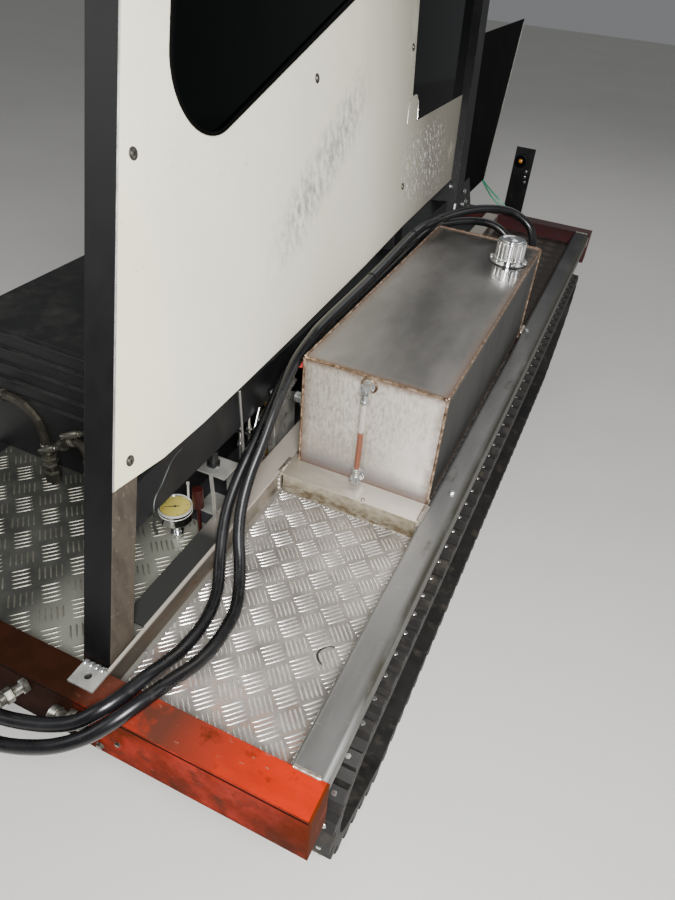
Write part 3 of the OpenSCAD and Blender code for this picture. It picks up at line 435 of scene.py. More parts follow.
def tread(x0, x1, y0, y1, top, size, bar_l):
    """The raised bars of a plate between these edges, in mm, cut off at the edges. size
    scales the pattern, and bar_l is half a bar's length."""
    shapes = []
    for turn, off in ((1, 0), (-1, 0.5)):
        c, s = cos(lean), turn * sin(lean)
        for i in range(-groups_x, groups_x + 1):
            for j in range(-groups_y, groups_y + 1):
                for k in range(-2, 3):
                    cx = size * ((i + off) * group_x - s * k * bar_gap)
                    cy = size * ((j + off) * group_y + c * k * bar_gap)
                    ends = [sorted(((low - at) / way, (high - at) / way))
                            for at, way, low, high in ((cx, c, x0, x1), (cy, s, y0, y1))]
                    t0 = max(-bar_l, ends[0][0], ends[1][0])
                    t1 = min(bar_l, ends[0][1], ends[1][1])
                    if t1 - t0 < 4 * bar_w:
                        continue
                    loops = []
                    for scale, h in ((1, 0), (0.72, 0.8), (0.35, 1)):
                        loop = [((t0 + t1) / 2 + u * (t1 - t0) / 2 * (0.35 + 0.65 * scale),
                                 v * bar_w * scale) for u, v in bar_ring]
                        loops.append([(cx + a * c - b * s, cy + a * s + b * c, top + h * bar_h)
                                      for a, b in loop])
                    points, faces = rings(loops)
                    shapes.append((points, faces[:-2] + faces[-1:]))
    return shapes


deck_top, ledge_x = 480, -195
# The bars' crests are rubbed by boots, and shine white where they face the light.
worn_bars = finish("boot_polished_aluminium", ["#CFCDC8", "#E8E6E1"], 60, (0.2, 0.32), 2, 0.02,
                   0.8)
overlay(worn_bars, [
    ("#A3A19B", 0.4, (spots, 40, 0.56, 0.7, 4)),
    # Painted shadow of the tank on the crests, beyond its far end.
    ("#57504A", 0.5, (along, ahead, 290, 420))])
piece("deck_tread", tread(ledge_x, rail_x0, -bay_end, bay_end, deck_top, 1, 19), worn_bars)
# Behind the engine the crests carry the same painted shade, and only the brightest glint.
dull_bars = finish("shade_darkened_bars", ["#6E6D62", "#8F8D81"], 60, (0.4, 0.52), 2, 0.02, 0.8)
piece("floor_tread", tread(-800, -202, -bay_end, -861, deck_top, 1.21, 17), dull_bars)

# The snipped end of a cable tie lies on the deck: nylon, black and slightly shiny.
tie_nylon = finish("black_nylon_tie", ["#141416", "#1E1E20"], 20, (0.35, 0.5), 1, 0.02)
tail = [(93 + 24 * cos(a), -1033 + 22 * sin(a), 482.2 + 2 * sin(2 * a))
        for a in np.linspace(1.7, 4.4, 14)]
piece("tie_tail", [swept(tail, 1.8, 6, 0.5)], tie_nylon)


# INNER RAIL AND FLOOR FRAME
# Angle steel along the deck's inboard side, left bare and gone brown, with paint on its
# top flange. The tubes, bearers and the chassis rail below are sprayed black.

# Weathered steel: brown beige with rain streaks along it, and a painted highlight on its upper
# edge.
rail_steel = finish("rain_browned_steel", ["#352F28", "#484138", "#5F574D"], 120, (0.36, 0.56),
                    2, 0.08, 0.45, (1, 0.25, 1))
overlay(rail_steel, [
    ("#A99F92", 0.42, (along, ahead, -1050, -640), (spots, 80, 0.3, 0.6)),
    ("#5B4534", 0.62, (spots, 34, 0.58, 0.68, 8, (1, 0.3, 1))),
    ("#7E7B74", 0.42, (along, outboard, -193.8, -193)),
    # Painted highlight along the upper edge.
    ("#B9B1A5", 0.3, (along, upward, 523, 527)),
    ("#323230", 0.5, (along, outboard, -200, -201), (along, ahead, -820, -930))])
coat("inner_rail", rail_steel, 0.8)

# Satin enamel over steel: near black with a soft shine, and grey where its edges are rubbed.
frame_black = finish("satin_black_enamel", ["#0B0B0C", "#121213", "#1A1A1C"], 200,
                     (0.3, 0.46), 2.2, 0.05, inputs={"Specular IOR Level": 0.3})
overlay(frame_black, [
    ("#4C4843", 0.4, (edges, 4), (spots, 20, 0.52, 0.64)),
    ("#26241F", 0.6, (spots, 90, 0.58, 0.76, 6))])
for node in ("middle_tube", "cross_bearers", "chassis_rail"):
    coat(node, frame_black, 1.5)
# The pan below the engine: flat sheet, dull black under dust.
pan_black = finish("dusty_black_sheet", ["#17171A", "#232326"], 200, (0.5, 0.7), 3, 0.1)
coat("under_pan", pan_black, 0)

# Small screws hold the tread plate under the ledge.
ledge_bolts = []
for y in range(-1170, 1250, 240):
    ledge_bolts += bolt((ledge_x + 5, y, deck_top + 5), size=3.2)
piece("ledge_screws", ledge_bolts, zinc_bolts)


# OIL TANK
# A box folded from bare steel plate and welded along its edges, with the brown heat
# colours left beside the welds. Its top mirrors what stands on it and is darkened by painted
# reflection; its sides are brushed, and painted shade darkens the outboard one.

faces_out, faces_rear = (facing, outboard, 0.7, 0.95), (facing, ahead, -0.7, -0.95)
# Cold-rolled plate: pale brushed ends, an outboard side darkened by painted shade, a top
# that shines and is darkened by painted reflection, and copper brown along the welds.
tank_plate = finish("bare_cold_rolled_plate", ["#CCC5B9", "#DDD6CA", "#EDE7DD"], 210,
                    (0.34, 0.48), 1.4, 0.02, 0.55, (1, 0.5, 1))
overlay(tank_plate, [
    ("#958E86", 0.44, (along, upward, 640, 540), (spots, 120, 0.2, 0.6)),
    # Painted shade: the outboard side dark, darker in patches.
    ("#2B2B29", 0.46, faces_out),
    ("#191917", 0.5, faces_out, (spots, 120, 0.45, 0.62, 3, (1, 0.6, 0.2))),
    # Painted reflection: the top darker grey, with lighter streaks.
    ("#6A6865", 0.2, faces_up),
    ("#85827F", 0.26, faces_up, (spots, 240, 0.4, 0.62, 8, (1, 0.4, 1))),
    # Painted shade over the far part of the top, in patches.
    ("#3D3B37", 0.2, faces_up, (along, ahead, -60, 230), (spots, 200, 0.15, 0.5, 4)),
    # Painted reflection: a darker, glossier patch round the cap.
    ("#4A4845", 0.1, faces_up, (along, ahead, -60, 40), (along, outboard, -20, 20)),
    ("#A8A195", 0.5, faces_rear, (spots, 9, 0.44, 0.66, 1, (1.5, 1, 0.5))),
    ("#EAE4DC", 0.3, faces_rear, (spots, 5, 0.6, 0.68, 1, (1.4, 1, 0.7))),
    ("#F6EFEA", 0.4, faces_rear, (along, outboard, -20, 90),
     (spots, 60, 0.3, 0.6, 5, (1.4, 1, 0.5))),
    ("#827E80", 0.44, faces_rear, (along, upward, 585, 545)),
    ("#84705F", 0.42, (edges, 26, 0.01, 0.2), (spots, 22, 0.26, 0.58)),
    ("#6B4634", 0.46, (edges, 14, 0.02, 0.2), (spots, 12, 0.26, 0.5, 5))])
coat("oil_tank", tank_plate, 1.5)

tank_x0, tank_x1, tank_y0, tank_y1, tank_z0, tank_z1 = -176, 124, -632, 238, 530, 795
sight_x, sight_y = -34, -648
# Heat-browned weld metal: coppery ripples that glint along the tank's corners.
rusty_bead = finish("heat_browned_bead", ["#54402F", "#8A725C", "#C4B19C"], 14, (0.26, 0.44),
                    1.2, 0.06, 0.7)
tank_beads = []
for y in (tank_y0, tank_y1):
    for x in (tank_x0, tank_x1):
        tank_beads.append(bead([(x, y, tank_z0 + 2), (x, y, tank_z1 - 2)], 5.5, 1))
    tank_beads.append(bead([(tank_x0 + 2, y, tank_z1), (tank_x1 - 2, y, tank_z1)], 6, 1))
for x in (tank_x0, tank_x1):
    tank_beads.append(bead([(x, tank_y0 + 2, tank_z1), (x, tank_y1 - 2, tank_z1)], 4.5, 1))
tank_beads.append(turned([(19, -0.4), (18, 0.9), (13, 1)], (sight_x, tank_y0, 775), rearward,
                         32))
piece("tank_beads", tank_beads, rusty_bead)

# Cradle angles that the tank stands on, welded across the bay, and the brown bracket at
# the tank's far corner. Oiled angle steel: an olive brown web under a pale worn flange.
cradle_steel = finish("oiled_angle_steel", ["#6C6553", "#877F6B", "#A0977F"], 90, (0.32, 0.5),
                      1.8, 0.04, 0.5, (0.3, 1, 1))
overlay(cradle_steel, [
    ("#C9C1B5", 0.36, faces_up),
    ("#A0978A", 0.44, (spots, 60, 0.42, 0.72, 4, (0.4, 1, 1))),
    ("#978E7F", 0.5, (along, outboard, -40, -190)),
    ("#63563F", 0.5, faces_rear, (spots, 14, 0.4, 0.58, 6, (0.6, 1, 1.3))),
    ("#B3A994", 0.4, faces_rear, (along, upward, 500, 520), (spots, 30, 0.3, 0.6)),
    ("#D8CFBE", 0.26, (edges, 4, 0.03, 0.3), (spots, 25, 0.36, 0.55)),
    ("#57281C", 0.6, (along, ahead, 215, 240))])
coat("tank_cradle", cradle_steel, 1.2)
cradle_beads = []
for toe, tank_y, way in ((-692, tank_y0, 1), (298, tank_y1, -1)):
    ends = sorted((toe + 3 * way, tank_y - 4 * way))
    for x in (ledge_x + 1, rail_x0 - 1):
        cradle_beads.append(bead([(x, y, tank_z0 + 1) for y in ends], 11))
        cradle_beads.append(bead([(x, toe, tank_z0 - 2), (x, toe, deck_top + 4)], 11, 1))
    cradle_beads.append(bead([(-182, toe, deck_top + 2), (124, toe, deck_top + 2)], 5, 1))
piece("cradle_beads", cradle_beads, weld_steel)
piece("cradle_screw", bolt((0, -684, tank_z0), size=4.5), grimy_zinc)

# Ports for the hoses, and a clip on the tank's inboard corner.
coat("tank_ports", zinc_bolts, 0.8)
# Moulded polypropylene clip: plain saturated red with a dull shine.
clip_red = finish("red_moulded_polypropylene", ["#A3170F", "#C02418"], 20, (0.3, 0.42), 1, 0.02)
clip = [swept([(-178, -612, z), (-188, -618, z), (-196, -622, z), (-203, -618, z)], radius, 8)
        for z, radius in ((762, 3.4), (766.5, 2.8), (771, 3.4))]
piece("tank_clip", clip, clip_red)


# FILLER CAP
# A chromed metal cap with flutes for the fingers on a flange that six socket screws hold.
# It is polished, and it mirrors the whole scene.

# Chrome plate: a hard mirror, black and white in stripes down the flutes.
chrome = finish("bright_chrome_plate", ["#D2D3D4", "#E2E3E4"], 60, (0.04, 0.1), 3, 0.01, 1.0)
overlay(chrome, [("#A5A39E", 0.24, (spots, 9, 0.64, 0.74, 2))])
coat("filler_cap", chrome, 0.7)
coat("filler_flange", chrome, 0.6)
cap_x, cap_y, flange_top, cap_top = 63, 98, 800, 854.3
# Painted shade: the hexagon sockets are deep, so they are filled in plain black.
socket_black = finish("socket_shadow_steel", ["#0C0C0D", "#141415"], 10, (0.5, 0.6), 1, 0.02)
sockets, rims = [], []
for k in range(6):
    a = k * pi / 3
    x, y = cap_x + 46 * cos(a), cap_y + 46 * sin(a)
    rims.append(turned([(4.2, 0), (4.2, 4.6), (3.7, 5.2), (2.2, 5.2), (1.9, 3.2), (0, 3.2)],
                       (x, y, flange_top), sides=20))
    sockets.append(turned([(1.9, 3.3), (1.7, 3.5), (0, 3.5)], (x, y, flange_top), sides=6))
piece("flange_screws", rims, chrome)
piece("flange_sockets", sockets, socket_black)
cap_ring = turned([(29, -0.2), (29, 1.1), (27.5, 1.5), (26, 0.7), (9, 0.6), (8, 1.2), (0, 1.4)],
                  (cap_x, cap_y, cap_top - 0.1), sides=48)
piece("cap_top_ring", [cap_ring], chrome, body="cap")
# Nitrile gasket under the flange: a matt black line.
nitrile = finish("nitrile_rubber", ["#101011", "#19191A"], 30, (0.5, 0.7), 1.5, 0.03)
piece("flange_gasket", [turned([(49, -1.6), (50.6, -0.8), (50.6, 0.5), (49.4, 0.9), (49, -1.6)],
                               (cap_x, cap_y, tank_z1 + 1.2), sides=48)], nitrile)


# SIGHT TUBE
# A clear plastic tube, clouded by age, between two zinc-plated banjo fittings on the
# tank's near end. Red hydraulic oil stands half way up in it.

# Zinc plate on the turned fittings: smooth and bright, with one soft streak of light.
fitting_zinc = finish("zinc_plated_fitting", ["#A9ACAB", "#C8CAC9"], 50, (0.22, 0.3), 3, 0.004,
                      0.85)
coat("sight_fittings", fitting_zinc, 0.8)
# Aged acrylic: milky and half clear, and stained salmon as high as the oil has stood.
acrylic = finish("clouded_acrylic_tube", ["#EDE8E0", "#F5F1EA"], 40, (0.2, 0.32), 4, 0.01,
                 inputs={"Transmission Weight": 0.62, "IOR": 1.49})
overlay(acrylic, [("#B4745A", 0.3, (along, upward, 674, 670))])
coat("sight_tube", acrylic, 0)
# Hydraulic oil: clear red, which looks salmon through the tube.
oil = finish("red_hydraulic_oil", ["#C04A2C", "#D25A38"], 30, (0.08, 0.15), 5, 0.01,
             inputs={"Transmission Weight": 0.2})
coat("sight_oil", oil, 0)
nuts = []
for z in (775, 548):
    nuts += [turned([(7, 0), (7, 5.5), (5.6, 7), (0, 7)], (sight_x, sight_y - 9, z), rearward, 6),
             turned([(11, 0), (13.5, 1.2), (13.5, 3), (11, 4)], (sight_x, tank_y0, z), rearward)]
for z in (745, 572):
    nuts.append(turned([(8.6, -2), (9.4, -1), (9.4, 4), (8.6, 5), (6.4, 5.4)],
                       (sight_x, sight_y, z), sides=24))
piece("sight_nuts", nuts, fitting_zinc)


# CAB SIDE
# Square tube posts, a sill and a roof rail in satin black enamel carry a sheet of
# off-white painted aluminium. The sheet is held by countersunk screws and is streaked
# with rain and grime; its windows are dark glass in rubber profile.

coat("front_post", frame_black, 5)
coat("side_frame", frame_black, 2)
# The rear post's outer face was never painted below the sheet: bare steel, grey brown.
bare_face = (facing, outboard, 0.6, 0.85)
post_steel = finish("half_painted_post_steel", ["#0B0B0C", "#141415"], 120, (0.36, 0.5),
                    2, 0.06, 0.2, (1, 1, 0.4))
overlay(post_steel, [
    ("#51493F", 0.5, bare_face),
    ("#40382F", 0.55, bare_face, (spots, 40, 0.46, 0.62, 2, (1, 1, 0.4))),
    ("#6C6155", 0.4, bare_face, (spots, 8, 0.6, 0.68, 4, (1, 1, 0.5))),
    ("#33211A", 0.6, (along, upward, 520, 486), (spots, 24, 0.4, 0.6))])
coat("rear_post", post_steel, 2)

# Stove enamel on sheet: off-white, yellower to the rear, with a dull even shine.
white_paint = finish("off_white_stove_enamel", ["#EAE6CE", "#F2EED7", "#F6F2DF"], 520,
                     (0.32, 0.42), 5, 0.03)
overlay(white_paint, [
    ("#F6F5C3", 0.4, (along, ahead, -880, -1240)),
    # Darker towards the front, in broad patches.
    ("#858074", 0.34, (along, ahead, -160, 330), (spots, 260, 0.1, 0.4)),
    ("#A5A398", 0.45, (spots, 6, 0.64, 0.7, 2), (spots, 260, 0.46, 0.6, 7))])
# A smudge of dark dabs crosses the sheet and climbs forward; wet dots glitter ahead of it.
climb = (0, -0.437, 0.899)
outer_face = (facing, outboard, 0.3, 0.6)
overlay(white_paint, [
    ("#A9A69E", 0.5, outer_face, (along, climb, 1050, 1110), (along, climb, 1190, 1140),
     (along, ahead, -640, -480), (along, ahead, -70, -210),
     (spots, 15, 0.4, 0.62, 5, (1, 1, 0.6))),
    ("#F2F1EC", 0.08, outer_face, (along, ahead, 60, 150), (along, ahead, 520, 400),
     (along, upward, 830, 900), (along, upward, 1060, 1000),
     (spots, 8, 0.56, 0.62, 6, (1, 1, 0.6))),
    ("#F1F0EC", 0.26, (facing, ahead, -0.5, -0.85)),
    ("#86847D", 0.5, (facing, upward, 0.6, 0.9))])
coat("side_panel", white_paint, 0.5)

# Window profile: extruded rubber, flat black.
profile_rubber = finish("window_profile_rubber", ["#020202", "#040404"], 60, (0.5, 0.64), 2,
                        0.04, inputs={"Specular IOR Level": 0.06})
# The sheet leans inboard from its foot. The window's corners: y at the foot and height up
# the side in mm, lean in degrees, and the way that each one moves where the line grows.
lean_in, wall_x, window_r = radians(8), -201, 90
side_out = (cos(lean_in), 0, sin(lean_in))
window = ((-1139, 690, 21, -1, -1), (-99, 969, 12.4, 1, -1), (-99, 1340, 12.4, 1, 1),
          (-1139, 1340, 21, -1, 1))


def on_side(out, y, up):
    """A point of the leaning cab side: out from the sheet, y along, up the side, in mm."""
    return (wall_x + out * cos(lean_in) - up * sin(lean_in), y,
            deck_top + out * sin(lean_in) + up * cos(lean_in))


def seal_line(grow, out):
    """A line round the window's rounded outline, grown by grow and out from the sheet."""
    corners = [np.array((y + grow * gy + (up + grow * gup) * tan(radians(tilt)),
                         up + grow * gup)) for y, up, tilt, gy, gup in window]
    line, r = [], window_r + grow
    for k, b in enumerate(corners):
        u, v = ((q - b) / np.linalg.norm(q - b) for q in (corners[k - 1], corners[(k + 1) % 4]))
        half = acos(u.dot(v)) / 2
        middle = b + (u + v) / np.linalg.norm(u + v) * r / sin(half)
        first = atan2(-u[0], u[1]) + pi
        line += [on_side(out, middle[0] + r * cos(first + t), middle[1] + r * sin(first + t))
                 for t in np.linspace(0, pi - 2 * half, 18)]
    return line


seal_section = ((-5, 0), (-4.6, 3), (-2.5, 4), (2.5, 4), (4.6, 3), (5, 0), (-5, 0))
points, faces = rings([seal_line(grow, out) for grow, out in seal_section])
seal = piece("window_profile", [(points, faces[:-2])], profile_rubber)
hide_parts("window_seals")
# Tinted glass over a dark cab: black, with one hard reflection.
dark_glass = finish("dark_tinted_glass", ["#010202", "#030404"], 500, (0.04, 0.08), 60, 0.01,
                    inputs={"IOR": 1.45, "Specular IOR Level": 0.12})
coat("window_glass", dark_glass, 0)
# Nose sheet: folded steel under matt black paint that hardly reflects.
nose_black = finish("matt_black_nose_paint", ["#010101", "#030303"], 160, (0.6, 0.75), 4, 0.05,
                    inputs={"Specular IOR Level": 0.06})
coat("nose_panel", nose_black, 0.6)

# Stainless screw heads, dulled by grime: small dark grey rounds with a light rim.
grey_screw = finish("grimy_stainless_screw", ["#55534E", "#7A7771"], 6, (0.3, 0.5), 0.8, 0.03,
                    0.9)
screws, slots = [], []
for y, up in ((-931, 748), (-1081, 340), (-362, 766), (194, 766), (116, 446)):
    at = on_side(0, y, up)
    screws.append(turned([(9, 0), (9, 0.8), (8.4, 1.2), (5.8, 1.3), (5, 3.2), (2.6, 3.8),
                          (2.3, 2.4), (0, 2.4)], at, side_out, 24))
    slots.append(turned([(2.5, 2.45), (2.2, 2.55), (0, 2.55)], at, side_out, 6))
piece("panel_screws", screws, grey_screw)
piece("panel_screw_sockets", slots, socket_black)

# The hemmed edge of the tab at the sheet's step, the sheet's rear edge and the folded rim
# of the nose sheet: thin strips in raw aluminium colour, painted highlights of these lit edges.
edge_highlight_alu = finish("aluminium_edge_highlight", ["#C4C2BB", "#E0DED8"], 40, (0.2, 0.34), 2, 0.02, 0.8)
hem = [(150, 596), (158, 618), (168, 640), (174, 649), (184, 654), (197, 655), (216, 653),
       (228, 648), (236, 640), (238, 630), (234, 612), (229.5, 592)]
hem_line = [on_side(0.6, y, up) for y, up in hem]
post_y, post_lean = -1248, radians(21)
rear_edge = [on_side(-1.5, post_y + up * tan(post_lean), up) for up in np.linspace(313, 1434, 24)]
piece("sheet_edges", [swept(hem_line, 0.9, 8), swept(rear_edge, 1.8, 8)], edge_highlight_alu)
rim = [on_side(0.6, 1013 + 489 * t, 252 + 486 * t) for t in np.linspace(0.02, 0.98, 30)]
piece("nose_rim", [swept(rim, 2.8, 8)], edge_highlight_alu)

# The bracket, the pin, the bolts and the weld at the far post's foot.
foot = bolt(on_side(0, 566, 335), side_out, 9)
for y, up, size in ((628, 262, 8), (668, 262, 8), (648, 300, 8), (704, 232, 7)):
    foot += bolt(on_side(25.2, y, up), side_out, size, start=0.2 * y)
foot.append(swept([on_side(30, 515, 264), on_side(30, 529, 290)], 5, 10))
foot_plate = [[on_side(out, y, up) for y, up in
               ((596, 222), (730, 222), (742, 238), (712, 330), (640, 330), (596, 238))]
              for out in (0, 25)]
piece("foot_bracket", [rings(foot_plate)], frame_black, smooth=20)
piece("foot_bolts", foot, zinc_bolts)
foot_bead = [on_side(26, y, up) for y, up in
             ((484, 268), (492, 252), (506, 240), (524, 232), (544, 228), (560, 227))]
post_beads = [bead([(-252, post_y, 482), (-200, post_y, 482), (-200, post_y + 52, 482)], 8),
              bead([(-238, -1256, 531), (-196, -1256, 531)], 10, 0.8), bead(foot_bead, 8)]
piece("post_welds", post_beads, weld_steel)

# Lug plate of zinc-plated flat, tacked down along one edge: a bright, even, half-dull grey
# round a dark hole.
plate_zinc = finish("zinc_plated_steel", ["#8F8F8A", "#B4B3AC"], 40, (0.3, 0.44), 1.5, 0.03, 0.6)
coat("lug_plate", plate_zinc, 0.8)
lug_beads = [bead([(-238 + 11 * k, -1257, 533), (-230 + 11 * k, -1256, 534)], 12, 0.9)
             for k in range(4)]
piece("lug_beads", lug_beads, zinc_bolts)
# Painted shade fills the bottom of its hole, plain black as in the sockets.
piece("lug_hole_shade", [turned([(6, -0.2), (6, 0.8), (0, 0.6)], (-220, -1274.5, rail_top))],
      socket_black)

# The lamp on its bar over the front beam. Its lens is moulded polycarbonate: clear amber.
amber = finish("amber_polycarbonate_lens", ["#D9820E", "#F0A020"], 8, (0.12, 0.2), 3, 0.1,
               inputs={"Transmission Weight": 0.3})
coat("work_lamp", profile_rubber, 3)
lamp_x, lamp_y, lamp_z = -154, 1264, 755
lens = turned([(10, -1), (10, 1.5), (7, 4.5), (0, 6)], (lamp_x, lamp_y - 1, lamp_z), rearward, 32)
piece("lamp_lens", [lens], amber)
coat("lamp_bracket", frame_black, 1)
bracket_bolts = []
for x, z in ((-127, 712), (-127, 692), (-124, 672)):
    bracket_bolts += bolt((x, 1285, z), rearward, 5)
piece("bracket_bolts", bracket_bolts, zinc_bolts)
lens_rim = turned([(23.2, -2), (24.6, -1), (24.6, 4), (23.2, 5), (23.2, -2)],
                  (lamp_x, lamp_y, lamp_z), rearward, 40)
piece("lamp_rim", [lens_rim], socket_black)


def eased(points, step=9.0):
    """A smooth curve through points in mm, with a point about every step mm."""
    p = [np.array(q, float) for q in points]
    p = [2 * p[0] - p[1]] + p + [2 * p[-1] - p[-2]]
    line = []
    for a, b, c, d in zip(p, p[1:], p[2:], p[3:]):
        n = max(2, int(np.linalg.norm(c - b) / step))
        for t in np.linspace(0, 1, n, endpoint=False):
            line.append(0.5 * (2 * b + (c - a) * t + (2 * a - 5 * b + 4 * c - d) * t ** 2
                               + (3 * b - a - 3 * c + d) * t ** 3))
    return line + [p[-2]]


# Two PVC-covered wires drop from the nose sheet to the front beam: bluish green, shiny.
wire_green = finish("green_pvc_wire", ["#2E8A68", "#43A880"], 20, (0.3, 0.4), 1.5, 0.02)
wires = (((-238, 1000, 728), (-224, 1060, 680), (-206, 1100, 642), (-161, 1104, 611),
          (-124, 1160, 572), (-108, 1240, 533)),
         ((-239, 1008, 728), (-216, 1080, 676), (-180, 1104, 640), (-134, 1104, 609),
          (-98, 1150, 572), (-90, 1240, 533)))
piece("lamp_wires", [swept(eased(wire, 12), 2.8, 8) for wire in wires], wire_green)


# ENGINE COVER
# Black polyethylene cover over the engine, vacuum formed with ribs across its rear face.
# Its skin has a fine pebble, and dust lies on what faces up.

# Pebbled polyethylene: deep matt black, greyer on top where dust has settled.
poly_black = finish("pebbled_black_polyethylene", ["#0A0A0B", "#111112"], 150, (0.44, 0.6),
                    1.8, 0.12)
overlay(poly_black, [("#262521", 0.75, (facing, upward, 0.2, 1), (spots, 70, 0.44, 0.74))])
coat("engine_cover", poly_black, 3)


# HOSES
# Two rubber hydraulic hoses run from the tank's far end along its inboard side, down over
# the inner rail, across the deck's corner and over the rear beam to their couplers. They
# have a fine cloth impression, steel ferrules at the ends and nylon ties at the tank.

# Hose rubber: black and slightly shiny, dull where dust sticks to it.
hose_black = finish("cloth_marked_hose_rubber", ["#08080A", "#0F0F11", "#151517"], 60,
                    (0.22, 0.36), 1.2, 0.08)
overlay(hose_black, [("#201F1D", 0.55, (spots, 26, 0.6, 0.74, 3))])

# Points in mm: from the tank's outboard top far corner, from its near inboard end, and
# from the rear beam's inboard corner, as the solids have them.
far_at, near_at = (tank_x1, tank_y1, tank_z0), (ledge_x, tank_y0, tank_z0)
rear_at = (ledge_x, -bay_end, rail_top)
runs = {
    "hose_inner": (
        (far_at, (
            (-84, 22, 170), (-84, 42, 170), (-84, 62, 170), (-90, 107, 184), (-116, 147, 217),
            (-170, 150, 250), (-242, 112, 260), (-316, 22, 258), (-327, -53, 253),
            (-331, -148, 246))),
        (near_at, (
            (-12, 420, 243), (-12, 150, 242), (-14, 70, 238), (-15, -10, 215), (-16, -90, 163))),
        (rear_at, (
            (-15, 465, 118), (-14, 415, 82), (-8, 370, 50), (5, 330, 22), (23, 290, -5),
            (43, 250, -26), (57, 205, -34), (64, 155, -32), (66, 105, -22), (66, 55, -2),
            (63, 10, 16), (54, -30, 19), (38, -62, 15), (10, -85, -3), (-30, -98, -22),
            (-85, -107, -42), (-135, -111, -56), (-175, -111, -60), (-195, -111, -60),
            (-220, -111, -60)))),
    "hose_outer": (
        (far_at, (
            (-32, 22, 205), (-32, 42, 205), (-32, 62, 205), (-36, 107, 225), (-64, 142, 270),
            (-124, 134, 305), (-194, 92, 312), (-259, 27, 305), (-304, -58, 293),
            (-328, -158, 282))),
        (near_at, (
            (-4, 420, 276), (-2, 150, 274), (0, 70, 268), (1, -10, 246), (5, -90, 194))),
        (rear_at, (
            (9, 470, 142), (11, 420, 100), (20, 375, 62), (37, 335, 28), (60, 300, -2),
            (82, 260, -24), (97, 220, -34), (103, 175, -34), (105, 130, -30), (103, 85, -18),
            (99, 40, 3), (93, 0, 18), (82, -35, 20), (65, -67, 12), (37, -95, -7),
            (-5, -117, -31), (-55, -129, -57), (-105, -136, -78), (-150, -138, -90),
            (-175, -138, -92), (-195, -138, -92), (-220, -138, -92)))),
}
hose_r = 11.5
# A ferrule with two crimped grooves.
grips = [(hose_r + out, h) for out, h in (
    (3.4, -1), (4, 0), (4, 7), (2.2, 8), (2.2, 11), (4, 12), (4, 19), (2.2, 20), (2.2, 23),
    (4, 24), (3.6, 31), (0.4, 33))]
hose_lines, ferrules = {}, []
for name, parts in runs.items():
    points = [tuple(o + c for o, c in zip(origin, q)) for origin, route in parts for q in route]
    hose_lines[name] = line = eased(points)
    cover = piece(name + "_cover", [swept(line, hose_r, 20)], hose_black)
    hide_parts(name)
    for end, back in ((line[0], line[3]), (line[-1], line[-4])):
        ferrules.append(turned(grips, end, Vector(back) - Vector(end), 28))
piece("hose_ferrules", ferrules, plate_zinc)

# Nylon ties round both hoses, each with its lock and its loose end. spot counts the points
# of the inner hose's line.
ties = []
inner_line, outer_line = (np.array(hose_lines[n]) for n in ("hose_inner", "hose_outer"))
for spot in (62, 96):
    a = inner_line[spot]
    way = inner_line[spot + 1] - inner_line[spot - 1]
    way /= np.linalg.norm(way)
    gap = outer_line[np.argmin(np.linalg.norm(outer_line - a, axis=1))] - a
    gap -= way * gap.dot(way)
    u = gap / np.linalg.norm(gap)
    v = np.cross(way, u)
    round_r = hose_r + 0.9
    band = [centre + round_r * (cos(t) * u + sin(t) * v)
            for centre, t0 in ((a, pi / 2), (a + gap, -pi / 2))
            for t in np.linspace(t0, t0 + pi, 10)]
    outs = [(q - a - gap / 2) / np.linalg.norm(q - a - gap / 2) for q in band]
    loops = [[q - 2.3 * way, q + 2.3 * way, q + 2.3 * way + 1.1 * o, q - 2.3 * way + 1.1 * o]
             for q, o in zip(band + band[:1], outs + outs[:1])]
    lock = band[2]
    loose_end = [lock + 4 * v, lock + 12 * v + 3 * way, lock + 20 * v + 9 * way]
    ties += [rings(loops),
             turned([(3.6, -1), (3.9, 0), (3.9, 4), (3.2, 5), (0, 5)], lock, v, 4, 0.785),
             swept(loose_end, 1.6, 6, 0.5)]
piece("hose_ties", ties, tie_nylon)

# Zinc-plated quick couplers behind the rear beam; the sleeve of each is knurled.
coat("quick_couplers", plate_zinc, 1)
# Knurled steel: its sleeve's small ridges break the shine into lines.
knurl_steel = finish("knurled_coupler_steel", ["#8B8E8D", "#B2B5B4"], 12, (0.22, 0.36), 1.2, 0.05,
                     0.95)
coupler_parts = [([(19, 0), (19.8, 0.8), (19.8, 2.6), (19, 3.4)], -456 - 4.6 * k, 40)
                 for k in range(7)]
coupler_parts += [([(15.4, 0), (16.6, 1), (16.6, 9), (15.4, 10)], -421, 6),
                  ([(19.3, 0), (19.3, 2.2), (16, 3), (15, 1.2), (9, 1.2), (8.4, -3), (0, -3)],
                   -491, 40)]
sleeves = [turned(profile, (x, y, z), (-1, 0, 0), sides)
           for y, z in ((-1366, 470), (-1393, 438)) for profile, x, sides in coupler_parts]
piece("coupler_sleeves", sleeves, knurl_steel)


# GAUGE, VALVES AND SWITCH
# Beside the cab side stand a pressure gauge in a steel case, a valve body of cast
# aluminium with brass and zinc-plated fittings, steel rods and a limit switch on a bent
# zinc-plated bracket.

coat("gauge_case", chrome, 0.8)
# Printed dial: enamelled tin, faded to khaki.
dial = finish("faded_khaki_dial", ["#A39548", "#B5A658"], 50, (0.45, 0.55), 3, 0.01)
coat("gauge_dial", dial, 0)
# The dial's middle, the height of its face and its radius, in mm.
gx, gy, dial_z, gr = -305, -914, 560, 29
# Printing ink: flat brownish black, in fine strokes round the dial's rim.
ink = finish("black_dial_ink", ["#2A281C", "#35321F"], 10, (0.5, 0.6), 1, 0.01)
